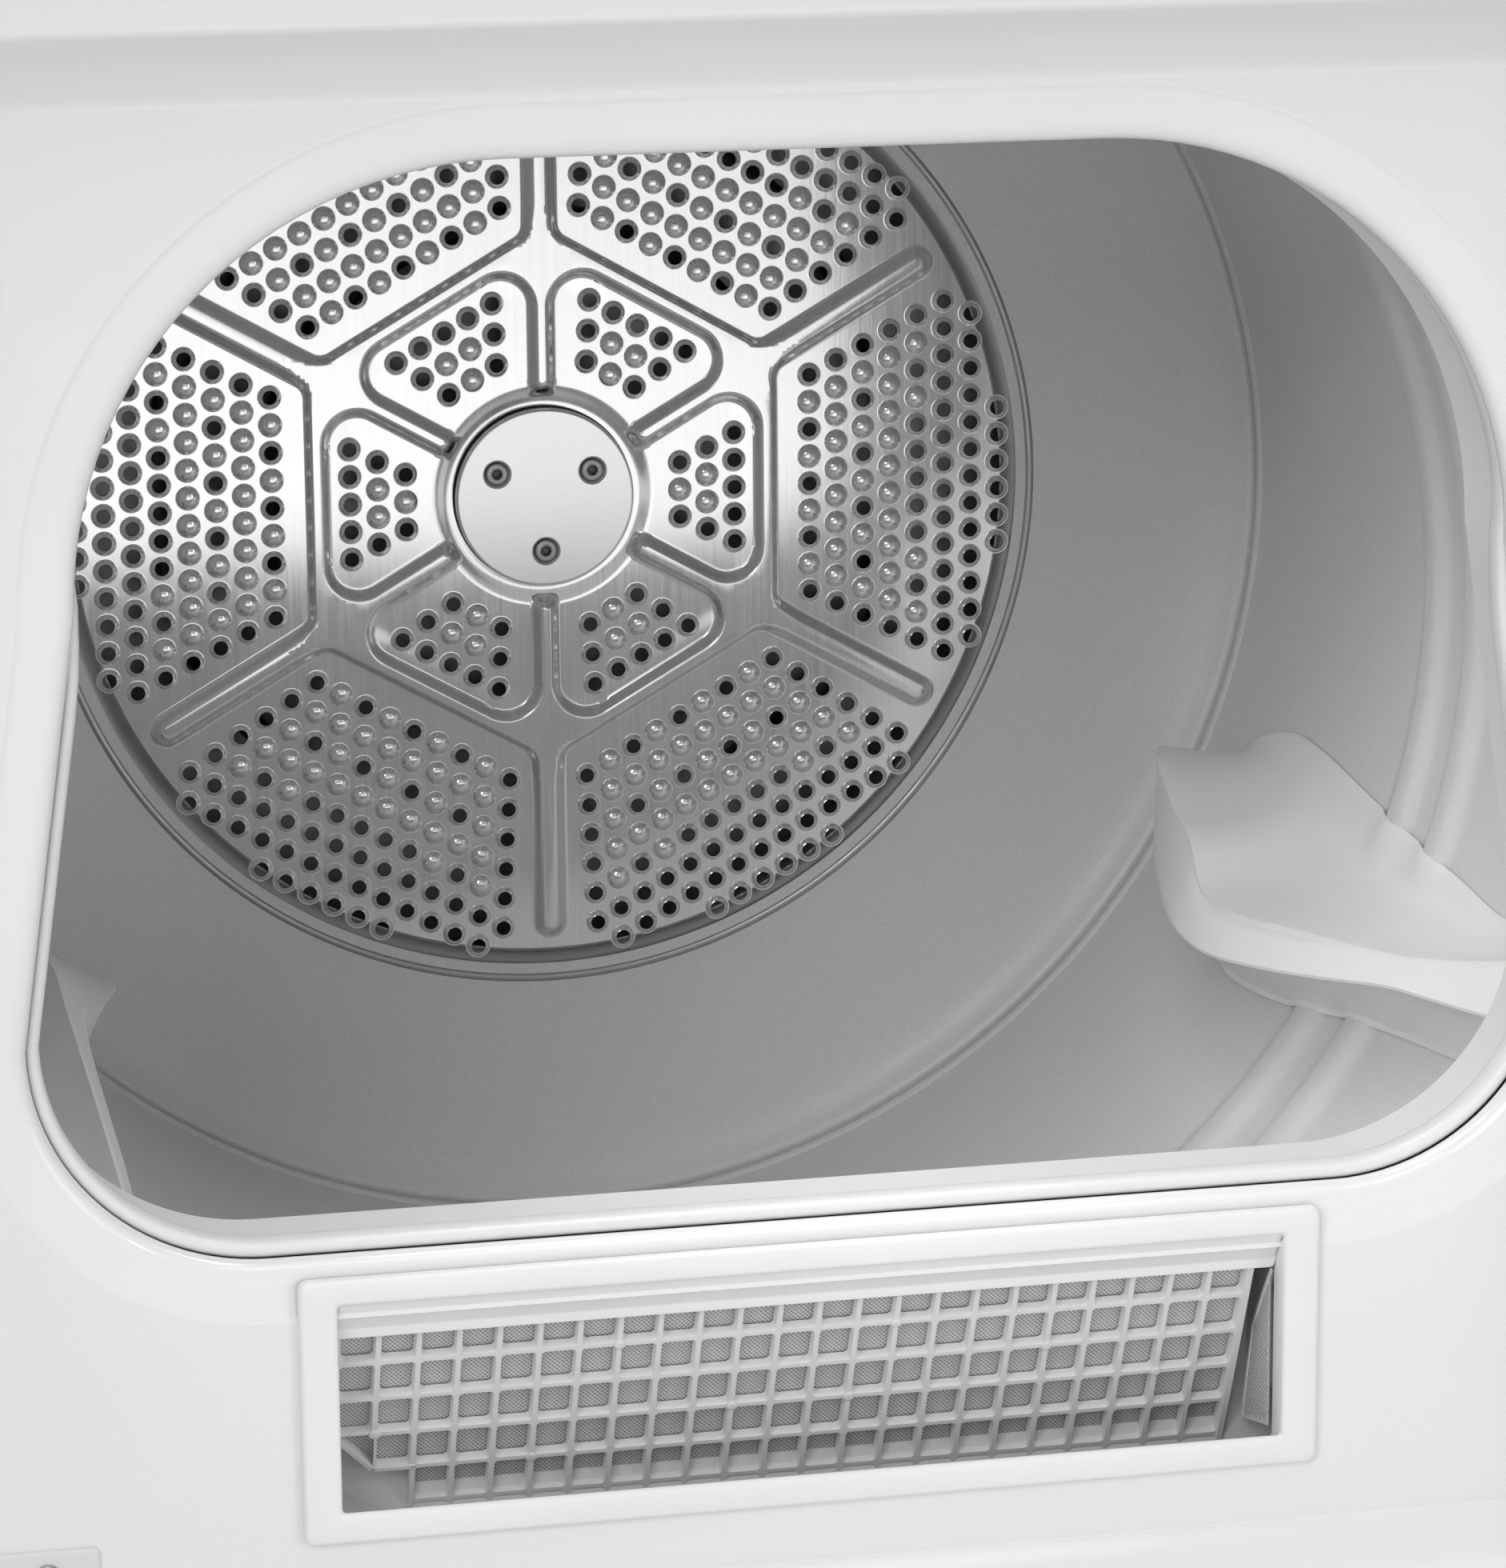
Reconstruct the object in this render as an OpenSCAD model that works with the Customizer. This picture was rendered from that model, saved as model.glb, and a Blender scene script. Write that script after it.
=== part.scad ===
// Vented front-loading clothes dryer, full-size 27 inch class, door standing open.
// Frame: millimetres, +Z up, front faces -Y, origin on the floor under the middle of the cabinet.

/* [Cabinet] */
// Width of the cabinet over the side panels
cab_w = 686; // [680:1:692]
// Depth of the cabinet, front face to rear panel
cab_d = 700; // [698:1:706]
// Height of the top deck above the floor
cab_h = 914; // [910:1:920]
// Thickness of the painted steel sheets
sheet = 1.2; // [1:0.1:1.5]
// Height of the gap under the base
leg_gap = 22; // [20:1:26]
// Height of the control console above the deck
console_h = 153; // [140:1:160]

/* [Front] */
// Depth of the recess that the door sits in
rec_depth = 22; // [20:1:24]
// Top of the door recess above the drum axis
rec_top = 276; // [272:1:280]
// Bottom of the door recess below the drum axis
rec_bot = 271; // [268:1:274]
// Half width of the door recess
rec_half = 312; // [310:1:314]
// Half width of the loading opening at its top
op_half_top = 249; // [246:1:252]
// Half width of the loading opening at its bottom
op_half_bot = 271; // [268:1:272]
// Top of the loading opening above the drum axis
op_top = 230; // [227:1:232]
// Bottom of the loading opening below the drum axis
op_bot = 147; // [145:1:149]
// Corner radius at the top of the opening
op_rt = 146; // [130:1:150]
// Corner radius at the bottom of the opening
op_rb = 80; // [70:1:84]

/* [Lint port] */
// Half width of the lint port bezel
bez_half = 182.5; // [180:0.5:184]
// Bottom of the bezel below the drum axis
bez_bot = 249; // [247:1:251]
// Half width of the lint slot
slot_half = 169; // [166:1:171]
// Top of the lint slot below the drum axis
slot_top = 162; // [160:0.5:164]
// Bottom of the lint slot below the drum axis
slot_bot = 238; // [235:1:240]
// How far the lint filter pulls out
filter_pull = 110; // [80:1:140]

/* [Drum] */
// Height of the drum axis above the floor
drum_z = 545; // [543:1:550]
// Inside radius of the drum
drum_r = 325; // [322:1:326]
// Back seam of the drum, behind the recess plane
drum_depth = 550; // [545:1:555]
// Radius of the perforated back plate
plate_r = 228; // [224:1:230]
// Radius of the hub disc
hub_r = 40.4; // [38:0.1:42]
// Inward height of the two rolled beads
bead_h = 4; // [2:0.5:5]
// Radial height of a baffle
baffle_h = 52; // [44:1:60]

/* [Drive] */
// Radius of the motor pulley
pulley_r = 10.5; // [9:0.5:12]
// Radius of the idler pulley
idler_r = 26; // [24:1:30]
// Inside radius of the exhaust duct, for a four inch hose over its collar
duct_ri = 48.8; // [48:0.1:49.5]
// Outside radius of the exhaust collar
duct_ro = 50.3; // [50:0.1:50.8]

/* [Door] */
// Angle from closed to fully open
door_swing = 165; // [150:1:170]
// Thickness of the door
door_t = 50; // [45:1:55]

/* [Hidden] */
fn_r = 96;                       // true circles
face_y = -cab_d / 2;             // front face of the cabinet
rec_y = face_y + rec_depth;      // recess plane, where the opening is cut
back_y = cab_d / 2;              // outside of the rear panel
deck_t = 16;                     // folded depth of the top deck
side_top = cab_h - deck_t;
half_w = cab_w / 2;
dy0 = rec_y + 62;                // front lip of the drum
dy1 = rec_y + drum_depth;        // back seam of the drum
plate_y = dy1 + 32;              // face of the perforated plate's rim
shell_t = 0.8;
bead_y = [rec_y + 229, rec_y + 278];  // front edges of the two beads
bead_w = 38;
ex_x = -60;                      // exhaust axis
ex_z = 96;
bez_top = op_bot + 5.5;
heater_y0 = plate_y + 6;
heater_y1 = heater_y0 + 40;
mot = [165, 118];                // motor axis, X and Z
mot_y = [-60, 75];
belt_y = [104, 112];
idl = [94.2, 108.7];             // idler pulley axis
arm_piv = [92, 46];
belt_t = 1.4;
hinge_x = rec_half + 9;
hinge_y = face_y - 20;
door_z = [drum_z - rec_bot + 7, drum_z + rec_top - 12];
door_x = [-rec_half + 7, rec_half - 7];
door_y = [rec_y - 6 - door_t, rec_y - 6];
hz = [door_z[0] + 75, door_z[1] - 75];   // hinge heights
foot_x = 305;
foot_y = 300;

// ---- helpers
module xz(y0, y1) translate([0, y1, 0]) rotate([90, 0, 0]) linear_extrude(y1 - y0) children();
module yz(x0, x1) translate([x0, 0, 0]) rotate([90, 0, 90]) linear_extrude(x1 - x0) children();
module ycyl(r, y0, y1, x = 0, z = 0, fn = fn_r) translate([x, y0, z]) rotate([-90, 0, 0]) cylinder(r = r, h = y1 - y0, $fn = fn);
module yrev(x = 0, z = drum_z, fn = 160) translate([x, 0, z]) rotate([-90, 0, 0]) rotate_extrude($fn = fn) children();
module block(x0, x1, y0, y1, z0, z1) translate([x0, y0, z0]) cube([x1 - x0, y1 - y0, z1 - z0]);
function seg(cx, cz, r, a0, a1, n = 10) = [for (i = [0:n]) [cx + r * cos(a0 + (a1 - a0) * i / n), cz + r * sin(a0 + (a1 - a0) * i / n)]];
// rounded loading opening, grown by g
function op_pts(g = 0) = concat(
  seg(op_half_top - op_rt, op_top - op_rt, op_rt + g, 0, 90),
  seg(-op_half_top + op_rt, op_top - op_rt, op_rt + g, 90, 180),
  seg(-op_half_bot + op_rb, -op_bot + op_rb, op_rb + g, 180, 270),
  seg(op_half_bot - op_rb, -op_bot + op_rb, op_rb + g, 270, 360));
module opening2d(g = 0) translate([0, drum_z]) polygon(op_pts(g));
module rrect(x0, x1, z0, z1, r) polygon(concat(seg(x1 - r, z1 - r, r, 0, 90, 6), seg(x0 + r, z1 - r, r, 90, 180, 6), seg(x0 + r, z0 + r, r, 180, 270, 6), seg(x1 - r, z0 + r, r, 270, 360, 6)));
sl_z0 = drum_z - slot_bot;
sl_z1 = drum_z - slot_top;
module slot2d(g = 0) translate([-slot_half - g, sl_z0 - g]) square([2 * (slot_half + g), sl_z1 - sl_z0 + 2 * g]);

// ---- cabinet
module base_pan() color("gainsboro") difference() {
  union() {
    block(-half_w + 3, half_w - 3, face_y + 14, back_y - 4, leg_gap, leg_gap + 1.5);
    block(-half_w + 3, half_w - 3, face_y + 14, face_y + 15.5, leg_gap + 1.5, leg_gap + 20);
    block(-half_w + 3, half_w - 3, back_y - 5.5, back_y - 4, leg_gap + 1.5, leg_gap + 20);
    for (s = [-1, 1]) block(s * (half_w - 3.75) - 0.75, s * (half_w - 3.75) + 0.75, face_y + 15.5, back_y - 5.5, leg_gap + 1.5, leg_gap + 20);
  }
  for (s = [-1, 1], t = [-1, 1]) translate([s * foot_x, t * foot_y, 0]) cylinder(r = 4.6, h = 60, $fn = 32);
}
module side(s) {
  x0 = s > 0 ? half_w - sheet : -half_w;
  block(x0, x0 + sheet, face_y + 12, back_y - 2, leg_gap - 4, side_top);
  xi = s > 0 ? half_w - 24 : -half_w + sheet;
  block(xi, xi + 24 - sheet, back_y - 2 - sheet, back_y - 2, leg_gap - 4, side_top);
  block(xi, xi + 24 - sheet, face_y + 30, back_y - 2 - sheet, side_top - sheet, side_top);
}
module left_side_panel() color("white") side(-1);
module right_side_panel() color("white") side(1);
module rear_panel() color("gainsboro") difference() {
  union() {
    block(-half_w + 1, half_w - 1, back_y - 2, back_y, leg_gap - 4, side_top);
    // stiffening ribs pressed outward
    for (x = [-270, 270]) block(x - 12, x + 12, back_y, back_y + 2, 430, 820);
  }
  ycyl(duct_ro + 1.5, back_y - 10, back_y + 10, ex_x, ex_z);
  // air inlet slots
  for (i = [0:5], s = [-1, 1]) block(s * 230 - 45, s * 230 + 45, back_y - 10, back_y + 10, 150 + i * 22, 156 + i * 22);
  block(130, 230, back_y - 10, back_y + 10, 480, 540);
}
module top_deck() color("white") difference() {
  hull() {
    translate([0, 0, side_top]) linear_extrude(deck_t - 3) rrect(-half_w, half_w, face_y, back_y, 9);
    translate([0, 0, side_top]) linear_extrude(deck_t) rrect(-half_w + 3, half_w - 3, face_y + 3, back_y - 3, 6);
  }
  translate([0, 0, side_top - 1]) linear_extrude(deck_t - 1) rrect(-half_w + 1.6, half_w - 1.6, face_y + 1.6, back_y - 1.6, 7.4);
}
// vertical profile of the front panel: plain face, cove down to the recess plane, recess, ramp back out
module front_profile() {
  zt = drum_z + rec_top; zb = drum_z - rec_bot;
  polygon(concat(
    [[face_y, side_top], [face_y, zt + 3], [face_y + 2, zt], [face_y + 9, zt - 9], [rec_y - 5, zt - 18], [rec_y, zt - 25]],
    [[rec_y, zb], [rec_y - 5, zb - 5], [face_y + 6, zb - 12], [face_y + 3, zb - 20], [face_y + 3, leg_gap - 4]],
    [[face_y + 3 + sheet, leg_gap - 4], [face_y + 3 + sheet, zb - 20], [face_y + 6 + sheet, zb - 13], [rec_y - 5 + sheet, zb - 6], [rec_y + sheet, zb]],
    [[rec_y + sheet, zt - 26], [rec_y - 5 + sheet, zt - 19], [face_y + 9 + sheet, zt - 10], [face_y + 2 + sheet, zt - 1], [face_y + sheet, zt + 3], [face_y + sheet, side_top]]));
}
module front_panel() color("white") difference() {
  union() {
    yz(-rec_half, rec_half) front_profile();
    // stiles either side of the recess, with the closing walls of the recess
    for (s = [-1, 1]) {
      x0 = s > 0 ? rec_half : -half_w;
      block(x0, x0 + half_w - rec_half, face_y, face_y + sheet, leg_gap - 4, side_top);
      xr = s > 0 ? rec_half : -rec_half - sheet;
      block(xr, xr + sheet, face_y + sheet, face_y + 3 + sheet, leg_gap - 4, side_top);
      block(xr, xr + sheet, face_y + sheet, rec_y + sheet, drum_z - rec_bot - 20, drum_z + rec_top + 3);
      xe = s > 0 ? half_w - sheet : -half_w;
      block(xe, xe + sheet, face_y + sheet, face_y + 11.5, leg_gap - 4, side_top);
    }
    // rolled lip of the opening
    xz(rec_y + sheet, rec_y + 10) difference() { opening2d(3); opening2d(0); }
  }
  xz(rec_y - 8, rec_y + 20) opening2d(0);
  xz(rec_y - 8, rec_y + 9) slot2d(2.5);
  ycyl(6.05, rec_y - 10, rec_y + 20, sw[0], sw[1], 32);
  translate([catch_p[0] - 9, rec_y - 10, catch_p[1] - 12]) cube([18, 30, 24]);
  for (p = cover_pts) ycyl(2.1, rec_y - 10, rec_y + 20, p[0], p[1], 24);
}
sw = [rec_half - 24, drum_z + 150];
catch_p = [-rec_half + 21, drum_z + 20];
cover_pts = [[-271, drum_z - 252], [-289, drum_z + 196]];
// plastic bulkhead behind the front panel: ring at the opening, dish out to the drum's lip
module front_bulkhead() color("whitesmoke") difference() {
  union() {
    xz(rec_y + 11, rec_y + 52) opening2d(-0.2);
    xz(rec_y + 50, rec_y + 54) translate([0, drum_z]) circle(r = 311, $fn = fn_r);
    difference() { ycyl(311, rec_y + 54, rec_y + 74, 0, drum_z); ycyl(307, rec_y + 53, rec_y + 80, 0, drum_z); }
    for (s = [-1, 1], t = [-1, 1]) block(s * 215 - 8, s * 215 + 8, rec_y + sheet, rec_y + 50, drum_z + t * 215 - 8, drum_z + t * 215 + 8);
  }
  xz(rec_y - 8, rec_y + 60) opening2d(-3.4);
}
module drum_glides() color("ivory") for (s = [-1, 1]) translate([0, 0, drum_z]) rotate([0, s * 35, 0])
  rotate([-90, 0, 0]) translate([0, 0, dy0 - 4]) rotate_extrude(angle = 22, start = 79, $fn = fn_r) translate([311, 0]) square([1.5, 10]);
module front_drum_seal() color("dimgray") yrev() translate([311, dy0 - 8]) square([9, 3.6]);
// ---- lint port
module lint_bezel() color("white") {
 // hood sloping in and down along the top of the slot
 yz(-slot_half - 0.5, slot_half + 0.5) polygon([[rec_y - 3.5, sl_z1 + 0.6], [rec_y + 5.5, sl_z1 - 12], [rec_y + 5.5, sl_z1 - 15.5], [rec_y + 8, sl_z1 - 15.5], [rec_y + 8, sl_z1 + 0.6]]);
 difference() {
  union() {
    hull() {
      xz(rec_y - 1.5, rec_y) translate([-bez_half, drum_z - bez_bot]) square([2 * bez_half, bez_bot - bez_top]);
      xz(rec_y - 4, rec_y - 1.5) translate([-bez_half + 1.5, drum_z - bez_bot + 1.5]) square([2 * bez_half - 3, bez_bot - bez_top - 3]);
    }
    xz(rec_y, rec_y + 8) slot2d(1.9);
  }
  xz(rec_y - 8, rec_y + 9) slot2d();
 }
}
module duct2d(g) polygon([[-slot_half - 4 + g, sl_z1 + 4 - g], [-slot_half - 4 + g, 296 + g], [58 + g, 186 + g], [262 - g, 186 + g], [262 - g, 214], [slot_half + 4 - g, 318], [slot_half + 4 - g, sl_z1 + 4 - g]]);
module lint_duct() color("whitesmoke") difference() {
  union() {
    xz(rec_y + sheet + 0.1, rec_y + 49) duct2d(0);
    xz(rec_y + sheet + 0.1, bl_y[0] - 0.5) translate([58, 46]) square([204, 160]);
  }
  xz(rec_y + sheet + 2.1, rec_y + 47) duct2d(2);
  xz(rec_y + sheet + 2.1, bl_y[0] - 2.5) translate([60, 48]) square([200, 156]);
  xz(rec_y - 1, rec_y + 12) slot2d(2.2);
  ycyl(58, bl_y[0] - 10, bl_y[0] + 10, mot[0], mot[1]);
}
// lint filter: sloping rib grid with a fine screen behind it and triangular ends
fz0 = sl_z0 - 14; fz1 = sl_z1 - 20.5;      // it reaches below the slot and comes out forwards and upwards
fya = rec_y + 12; fyb = rec_y + 45;
function yb(z) = fya + (fyb - fya) * (fz1 - z) / (fz1 - fz0);
module filter_tri(x0, x1, z0) yz(x0, x1) polygon([[fya - 5, fz1], [fya, fz1], [yb(z0), z0], [yb(z0) - 5, z0], [fya - 2, max(z0, sl_z0 + 2)]]);
module lint_filter_frame() color("lightgray") {
  n = 23; w = 2 * slot_half - 14;
  // sloping ribs, the first two shorter where the lower left corner is cut off
  for (i = [0:n - 1]) { z0 = i == 0 ? fz0 + 28 : i == 1 ? fz0 + 14 : fz0; translate([-w / 2 + i * w / (n - 1), 0, 0]) yz(-0.7, 0.7) polygon([[fya - 4, fz1], [fya + 1, fz1], [yb(z0), z0 + 1.5], [yb(z0) - 5, z0 + 1.5]]); }
  for (k = [0:5]) { z = fz1 - 1.4 - (fz1 - 1.4 - fz0 - 1.5) * k / 5; x0 = k == 5 ? -w / 2 + 2 * w / (n - 1) : k == 4 ? -w / 2 + w / (n - 1) : -w / 2; block(x0, w / 2, yb(z) - 4.6, yb(z) - 0.4, z, z + 1.3); }
  filter_tri(w / 2 + 0.7, w / 2 + 2.2, fz0 + 1.5);
  filter_tri(-w / 2 - 2.2, -w / 2 - 0.7, fz0 + 29.5);
}
module lint_filter_mesh() color("gray") {
  w = 2 * slot_half - 18.6;
  difference() {
    yz(-w / 2 - 1.2, w / 2 + 1.2) polygon([[fya + 1.1, fz1], [fya + 1.7, fz1], [fyb + 0.7, fz0 + 1.5], [fyb + 0.1, fz0 + 1.5]]);
    xz(rec_y, rec_y + 60) polygon([[-w / 2 - 5, fz0 - 5], [-w / 2 + 31, fz0 - 5], [-w / 2 + 31, fz0 + 2], [-w / 2 - 5, fz0 + 31]]);
  }
}
// ---- blower and exhaust
bl_y = [rec_y + 110, rec_y + 180];
module scroll(g) { translate([mot[0], mot[1]]) circle(r = 88 - g, $fn = fn_r); translate([ex_x - 58 + g, 38 + g]) square([mot[0] - ex_x + 58 - g, 112 - 2 * g]); }
module blower_housing() color("lightgray") difference() {
  xz(bl_y[0] + 2, bl_y[1]) scroll(0);
  xz(bl_y[0] + 1, bl_y[1] - 2) scroll(2);
  ycyl(duct_ri, bl_y[1] - 5, bl_y[1] + 5, ex_x, ex_z);
  ycyl(9, bl_y[1] - 5, bl_y[1] + 5, mot[0], mot[1]);
}
module blower_cover() color("lightgray") difference() { xz(bl_y[0], bl_y[0] + 2) scroll(0); ycyl(56, bl_y[0] - 5, bl_y[0] + 5, mot[0], mot[1]); }
module exhaust_duct() color("silver") difference() {
  union() { ycyl(duct_ro + 0.7, bl_y[1], back_y + 2, ex_x, ex_z); ycyl(duct_ro, bl_y[1] + 1, back_y + 28, ex_x, ex_z); }
  ycyl(duct_ri, bl_y[1] - 1, back_y + 40, ex_x, ex_z);
}
// ---- heater and rear bearing
module heater_housing() color("silver") difference() {
  yrev() polygon([[38, heater_y1 + 1.2], [38, heater_y1], [226, heater_y1], [238, heater_y0 + 2], [262, heater_y0 + 2], [262, heater_y0 + 3.2], [239, heater_y0 + 3.2], [227, heater_y1 + 1.2]]);
}
module heater_coils() color("dimgray") for (r = [120, 170]) translate([0, 0, drum_z]) rotate([-90, 0, 0]) translate([0, 0, heater_y1 - 6]) rotate_extrude(angle = 300, start = 120, $fn = 96) translate([r, 0]) circle(r = 6, $fn = 24);
module rear_drum_seal() color("dimgray") yrev() translate([241, plate_y + 1.4]) square([20, heater_y0 + 0.6 - plate_y]);
module rear_bearing_housing() color("silver") difference() {
  union() {
    // upright plate, stepped at its foot to pass beside the exhaust duct
    xz(heater_y1 + 1.2, heater_y1 + 4.2) polygon([[-4, 26], [60, 26], [60, side_top - 4], [-60, side_top - 4], [-60, 156], [-4, 156]]);
    ycyl(26, heater_y1 - 14, heater_y1 + 1.2, 0, drum_z);
  }
  ycyl(17, heater_y1 - 30, heater_y1 + 30, 0, drum_z);
  xz(heater_y1, heater_y1 + 10) for (z = [220, 310, 700, 800]) translate([0, z]) circle(r = 22, $fn = 32);
}
module rear_bearing_sleeve() color("goldenrod") difference() { ycyl(17, heater_y1 - 16, heater_y1 + 8, 0, drum_z); ycyl(12.55, heater_y1 - 40, heater_y1 + 20, 0, drum_z); }
// ---- motor, belt, idler
module belt_path(g) {
  hull() { translate([0, drum_z]) circle(r = drum_r + shell_t + 0.5 + g, $fn = 120); translate([mot[0], mot[1]]) circle(r = pulley_r + 0.4 + g, $fn = 32); }
}
module drive_belt() color("black") xz(belt_y[0], belt_y[1]) difference() { belt_path(belt_t); belt_path(0); }
module motor_housing() color("slategray") {
  difference() {
    union() { ycyl(66, mot_y[0] + 12, mot_y[1] - 12, mot[0], mot[1]); ycyl(40, mot_y[0], mot_y[1], mot[0], mot[1]); }
    ycyl(6.5, mot_y[0] - 5, mot_y[1] + 5, mot[0], mot[1]);
  }
}
module motor_bracket() color("silver") {
  difference() {
    union() {
      for (y = [mot_y[0] + 2, mot_y[1] - 10]) xz(y, y + 2) translate([mot[0] - 60, leg_gap + 4]) square([120, mot[1] - leg_gap - 4]);
      block(mot[0] - 60, mot[0] + 60, mot_y[0] + 2, mot_y[1] + 50, leg_gap + 1.5, leg_gap + 4);
      block(60, mot[0] - 60, mot_y[1] - 10, mot_y[1] + 50, leg_gap + 1.5, leg_gap + 4);
      block(70, 114, mot_y[1] + 22, mot_y[1] + 25, leg_gap + 4, arm_piv[1] + 14);
    }
    for (y = [mot_y[0], mot_y[1] - 12]) ycyl(40, y - 1, y + 6, mot[0], mot[1]);
    ycyl(4.05, mot_y[1], mot_y[1] + 60, arm_piv[0], arm_piv[1], 48);
  }
}
module motor_shaft() color("silver") difference() {
  union() {
    ycyl(6.4, bl_y[0] + 14, belt_y[1] + 6, mot[0], mot[1], 64);
    translate([mot[0], 0, mot[1]]) rotate([-90, 0, 0]) rotate_extrude($fn = 64) polygon([[6, belt_y[0] - 3], [pulley_r + 2, belt_y[0] - 3], [pulley_r + 2, belt_y[0] - 1], [pulley_r, belt_y[0] - 1], [pulley_r, belt_y[1] + 1], [pulley_r + 2, belt_y[1] + 1], [pulley_r + 2, belt_y[1] + 3], [6, belt_y[1] + 3]]);
  }
}
module blower_wheel() color("dimgray") {
  difference() { union() { ycyl(78, bl_y[1] - 10, bl_y[1] - 8, mot[0], mot[1]); ycyl(14, bl_y[0] + 14, bl_y[1] - 8, mot[0], mot[1]); } ycyl(6.4, bl_y[0], bl_y[1], mot[0], mot[1], 64); }
  difference() { ycyl(78, bl_y[0] + 8, bl_y[0] + 10, mot[0], mot[1]); ycyl(60, bl_y[0], bl_y[0] + 12, mot[0], mot[1]); }
  for (a = [0:15:345]) translate([mot[0], 0, mot[1]]) rotate([0, a, 0]) block(60, 77, bl_y[0] + 10, bl_y[1] - 10, -0.6, 0.6);
}
module idler_arm() color("silver") {
  difference() {
    xz(mot_y[1] + 25.3, mot_y[1] + 28) hull() { translate(arm_piv) circle(r = 10, $fn = 32); translate(idl) circle(r = 9, $fn = 32); }
    ycyl(4, mot_y[1] + 20, mot_y[1] + 40, arm_piv[0], arm_piv[1], 48);
  }
  ycyl(4, mot_y[1] + 19, mot_y[1] + 32, arm_piv[0], arm_piv[1], 48);
  ycyl(5, mot_y[1] + 28, belt_y[1] + 4, idl[0], idl[1], 48);
}
module idler_pulley() color("whitesmoke") translate([idl[0], 0, idl[1]]) rotate([-90, 0, 0]) rotate_extrude($fn = 64) polygon([[5.05, belt_y[0]], [idler_r, belt_y[0]], [idler_r, belt_y[1]], [5.05, belt_y[1]]]);
// ---- drum
function bead_in(y0) = [[drum_r, y0 + bead_w], [drum_r - bead_h, y0 + bead_w - 11], [drum_r - bead_h, y0 + 11], [drum_r, y0]];
function bead_out(y0) = [[drum_r + shell_t, y0], [drum_r - bead_h + shell_t, y0 + 11], [drum_r - bead_h + shell_t, y0 + bead_w - 11], [drum_r + shell_t, y0 + bead_w]];
module drum_shell() color("silver") yrev() polygon(concat([[drum_r, dy1]], bead_in(bead_y[1]), bead_in(bead_y[0]),
  [[drum_r, dy0 + shell_t], [drum_r - 12, dy0 + shell_t], [drum_r - 12, dy0], [drum_r + shell_t, dy0]],
  bead_out(bead_y[0]), bead_out(bead_y[1]), [[drum_r + shell_t, dy1]]));
module drum_back() color("silver") yrev() polygon([[drum_r + shell_t, dy1], [drum_r + shell_t, dy1 + shell_t], [300, dy1 + 13], [238, plate_y + 1], [plate_r - 9, plate_y + 1], [plate_r - 9, plate_y + 0.2], [238, plate_y + 0.2], [300, dy1 + 12.2], [drum_r, dy1]]);
// back plate: recessed panels of holes between raised spokes and a raised hexagon
pitch = 12.5;
col_n = [9, 10, 11, 12, 13, 14, 13, 6];
// which holes are pierced: j counts along column k, the others are closed domes
function is_open(k, j) = let(e = min(j, col_n[k] - 1 - j)) k == 0 || k == 2 ? j % 2 == 0 : k == 1 || k == 3 ? e == 0 : k == 4 ? e != 1 && e != 3 : true;
module plate_holes() for (p = [0:5]) rotate([0, 0, p * 60]) {
  for (k = [0:7]) for (j = [0:col_n[k] - 1]) if (is_open(k, j)) translate([122.1 + k * pitch, (j - (col_n[k] - 1) / 2) * pitch]) circle(r = 3.4, $fn = 16);
  for (k = [0:2]) for (j = [0:4 - k]) if (k == 0 || j == 0 || j == 4 - k) translate([87.3 - k * pitch, (j - (4 - k) / 2) * pitch]) circle(r = 3.4, $fn = 16);
}
module perforated_plate() color("lightgray") {
  xz(plate_y - 0.6, plate_y + 0.2) translate([0, drum_z]) difference() { circle(r = plate_r, $fn = fn_r); plate_holes(); circle(r = 8, $fn = 32); }
  xz(plate_y - 4.6, plate_y - 0.6) translate([0, drum_z]) {
    for (a = [30:60:330]) rotate(a) { translate([120, -8]) square([88, 16]); translate([49, -8]) square([62, 16]); }
    rotate(30) difference() { circle(r = 123, $fn = 6); circle(r = 109, $fn = 6); }
    difference() { circle(r = 51, $fn = fn_r); circle(r = 46.5, $fn = fn_r); }
  }
}
module hub_disc() color("silver") difference() {
  yrev() polygon([[0, plate_y - 6], [hub_r - 2, plate_y - 6], [hub_r, plate_y - 4.5], [hub_r, plate_y - 0.6], [0, plate_y - 0.6]]);
  for (a = [30, 150, 270]) ycyl(2.6, plate_y - 20, plate_y + 5, 25 * cos(a), drum_z + 25 * sin(a), 24);
  for (a = [30, 150, 270]) ycyl(6.2, plate_y - 20, plate_y - 3.4, 25 * cos(a), drum_z + 25 * sin(a), 32);
}
module hub_screws() color("dimgray") for (a = [30, 150, 270]) difference() {
  union() { ycyl(5, plate_y - 5.8, plate_y - 3.4, 25 * cos(a), drum_z + 25 * sin(a), 32); ycyl(2.6, plate_y - 3.4, plate_y - 0.6, 25 * cos(a), drum_z + 25 * sin(a), 24); }
  ycyl(2, plate_y - 6.5, plate_y - 4.4, 25 * cos(a), drum_z + 25 * sin(a), 6);
}
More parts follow.
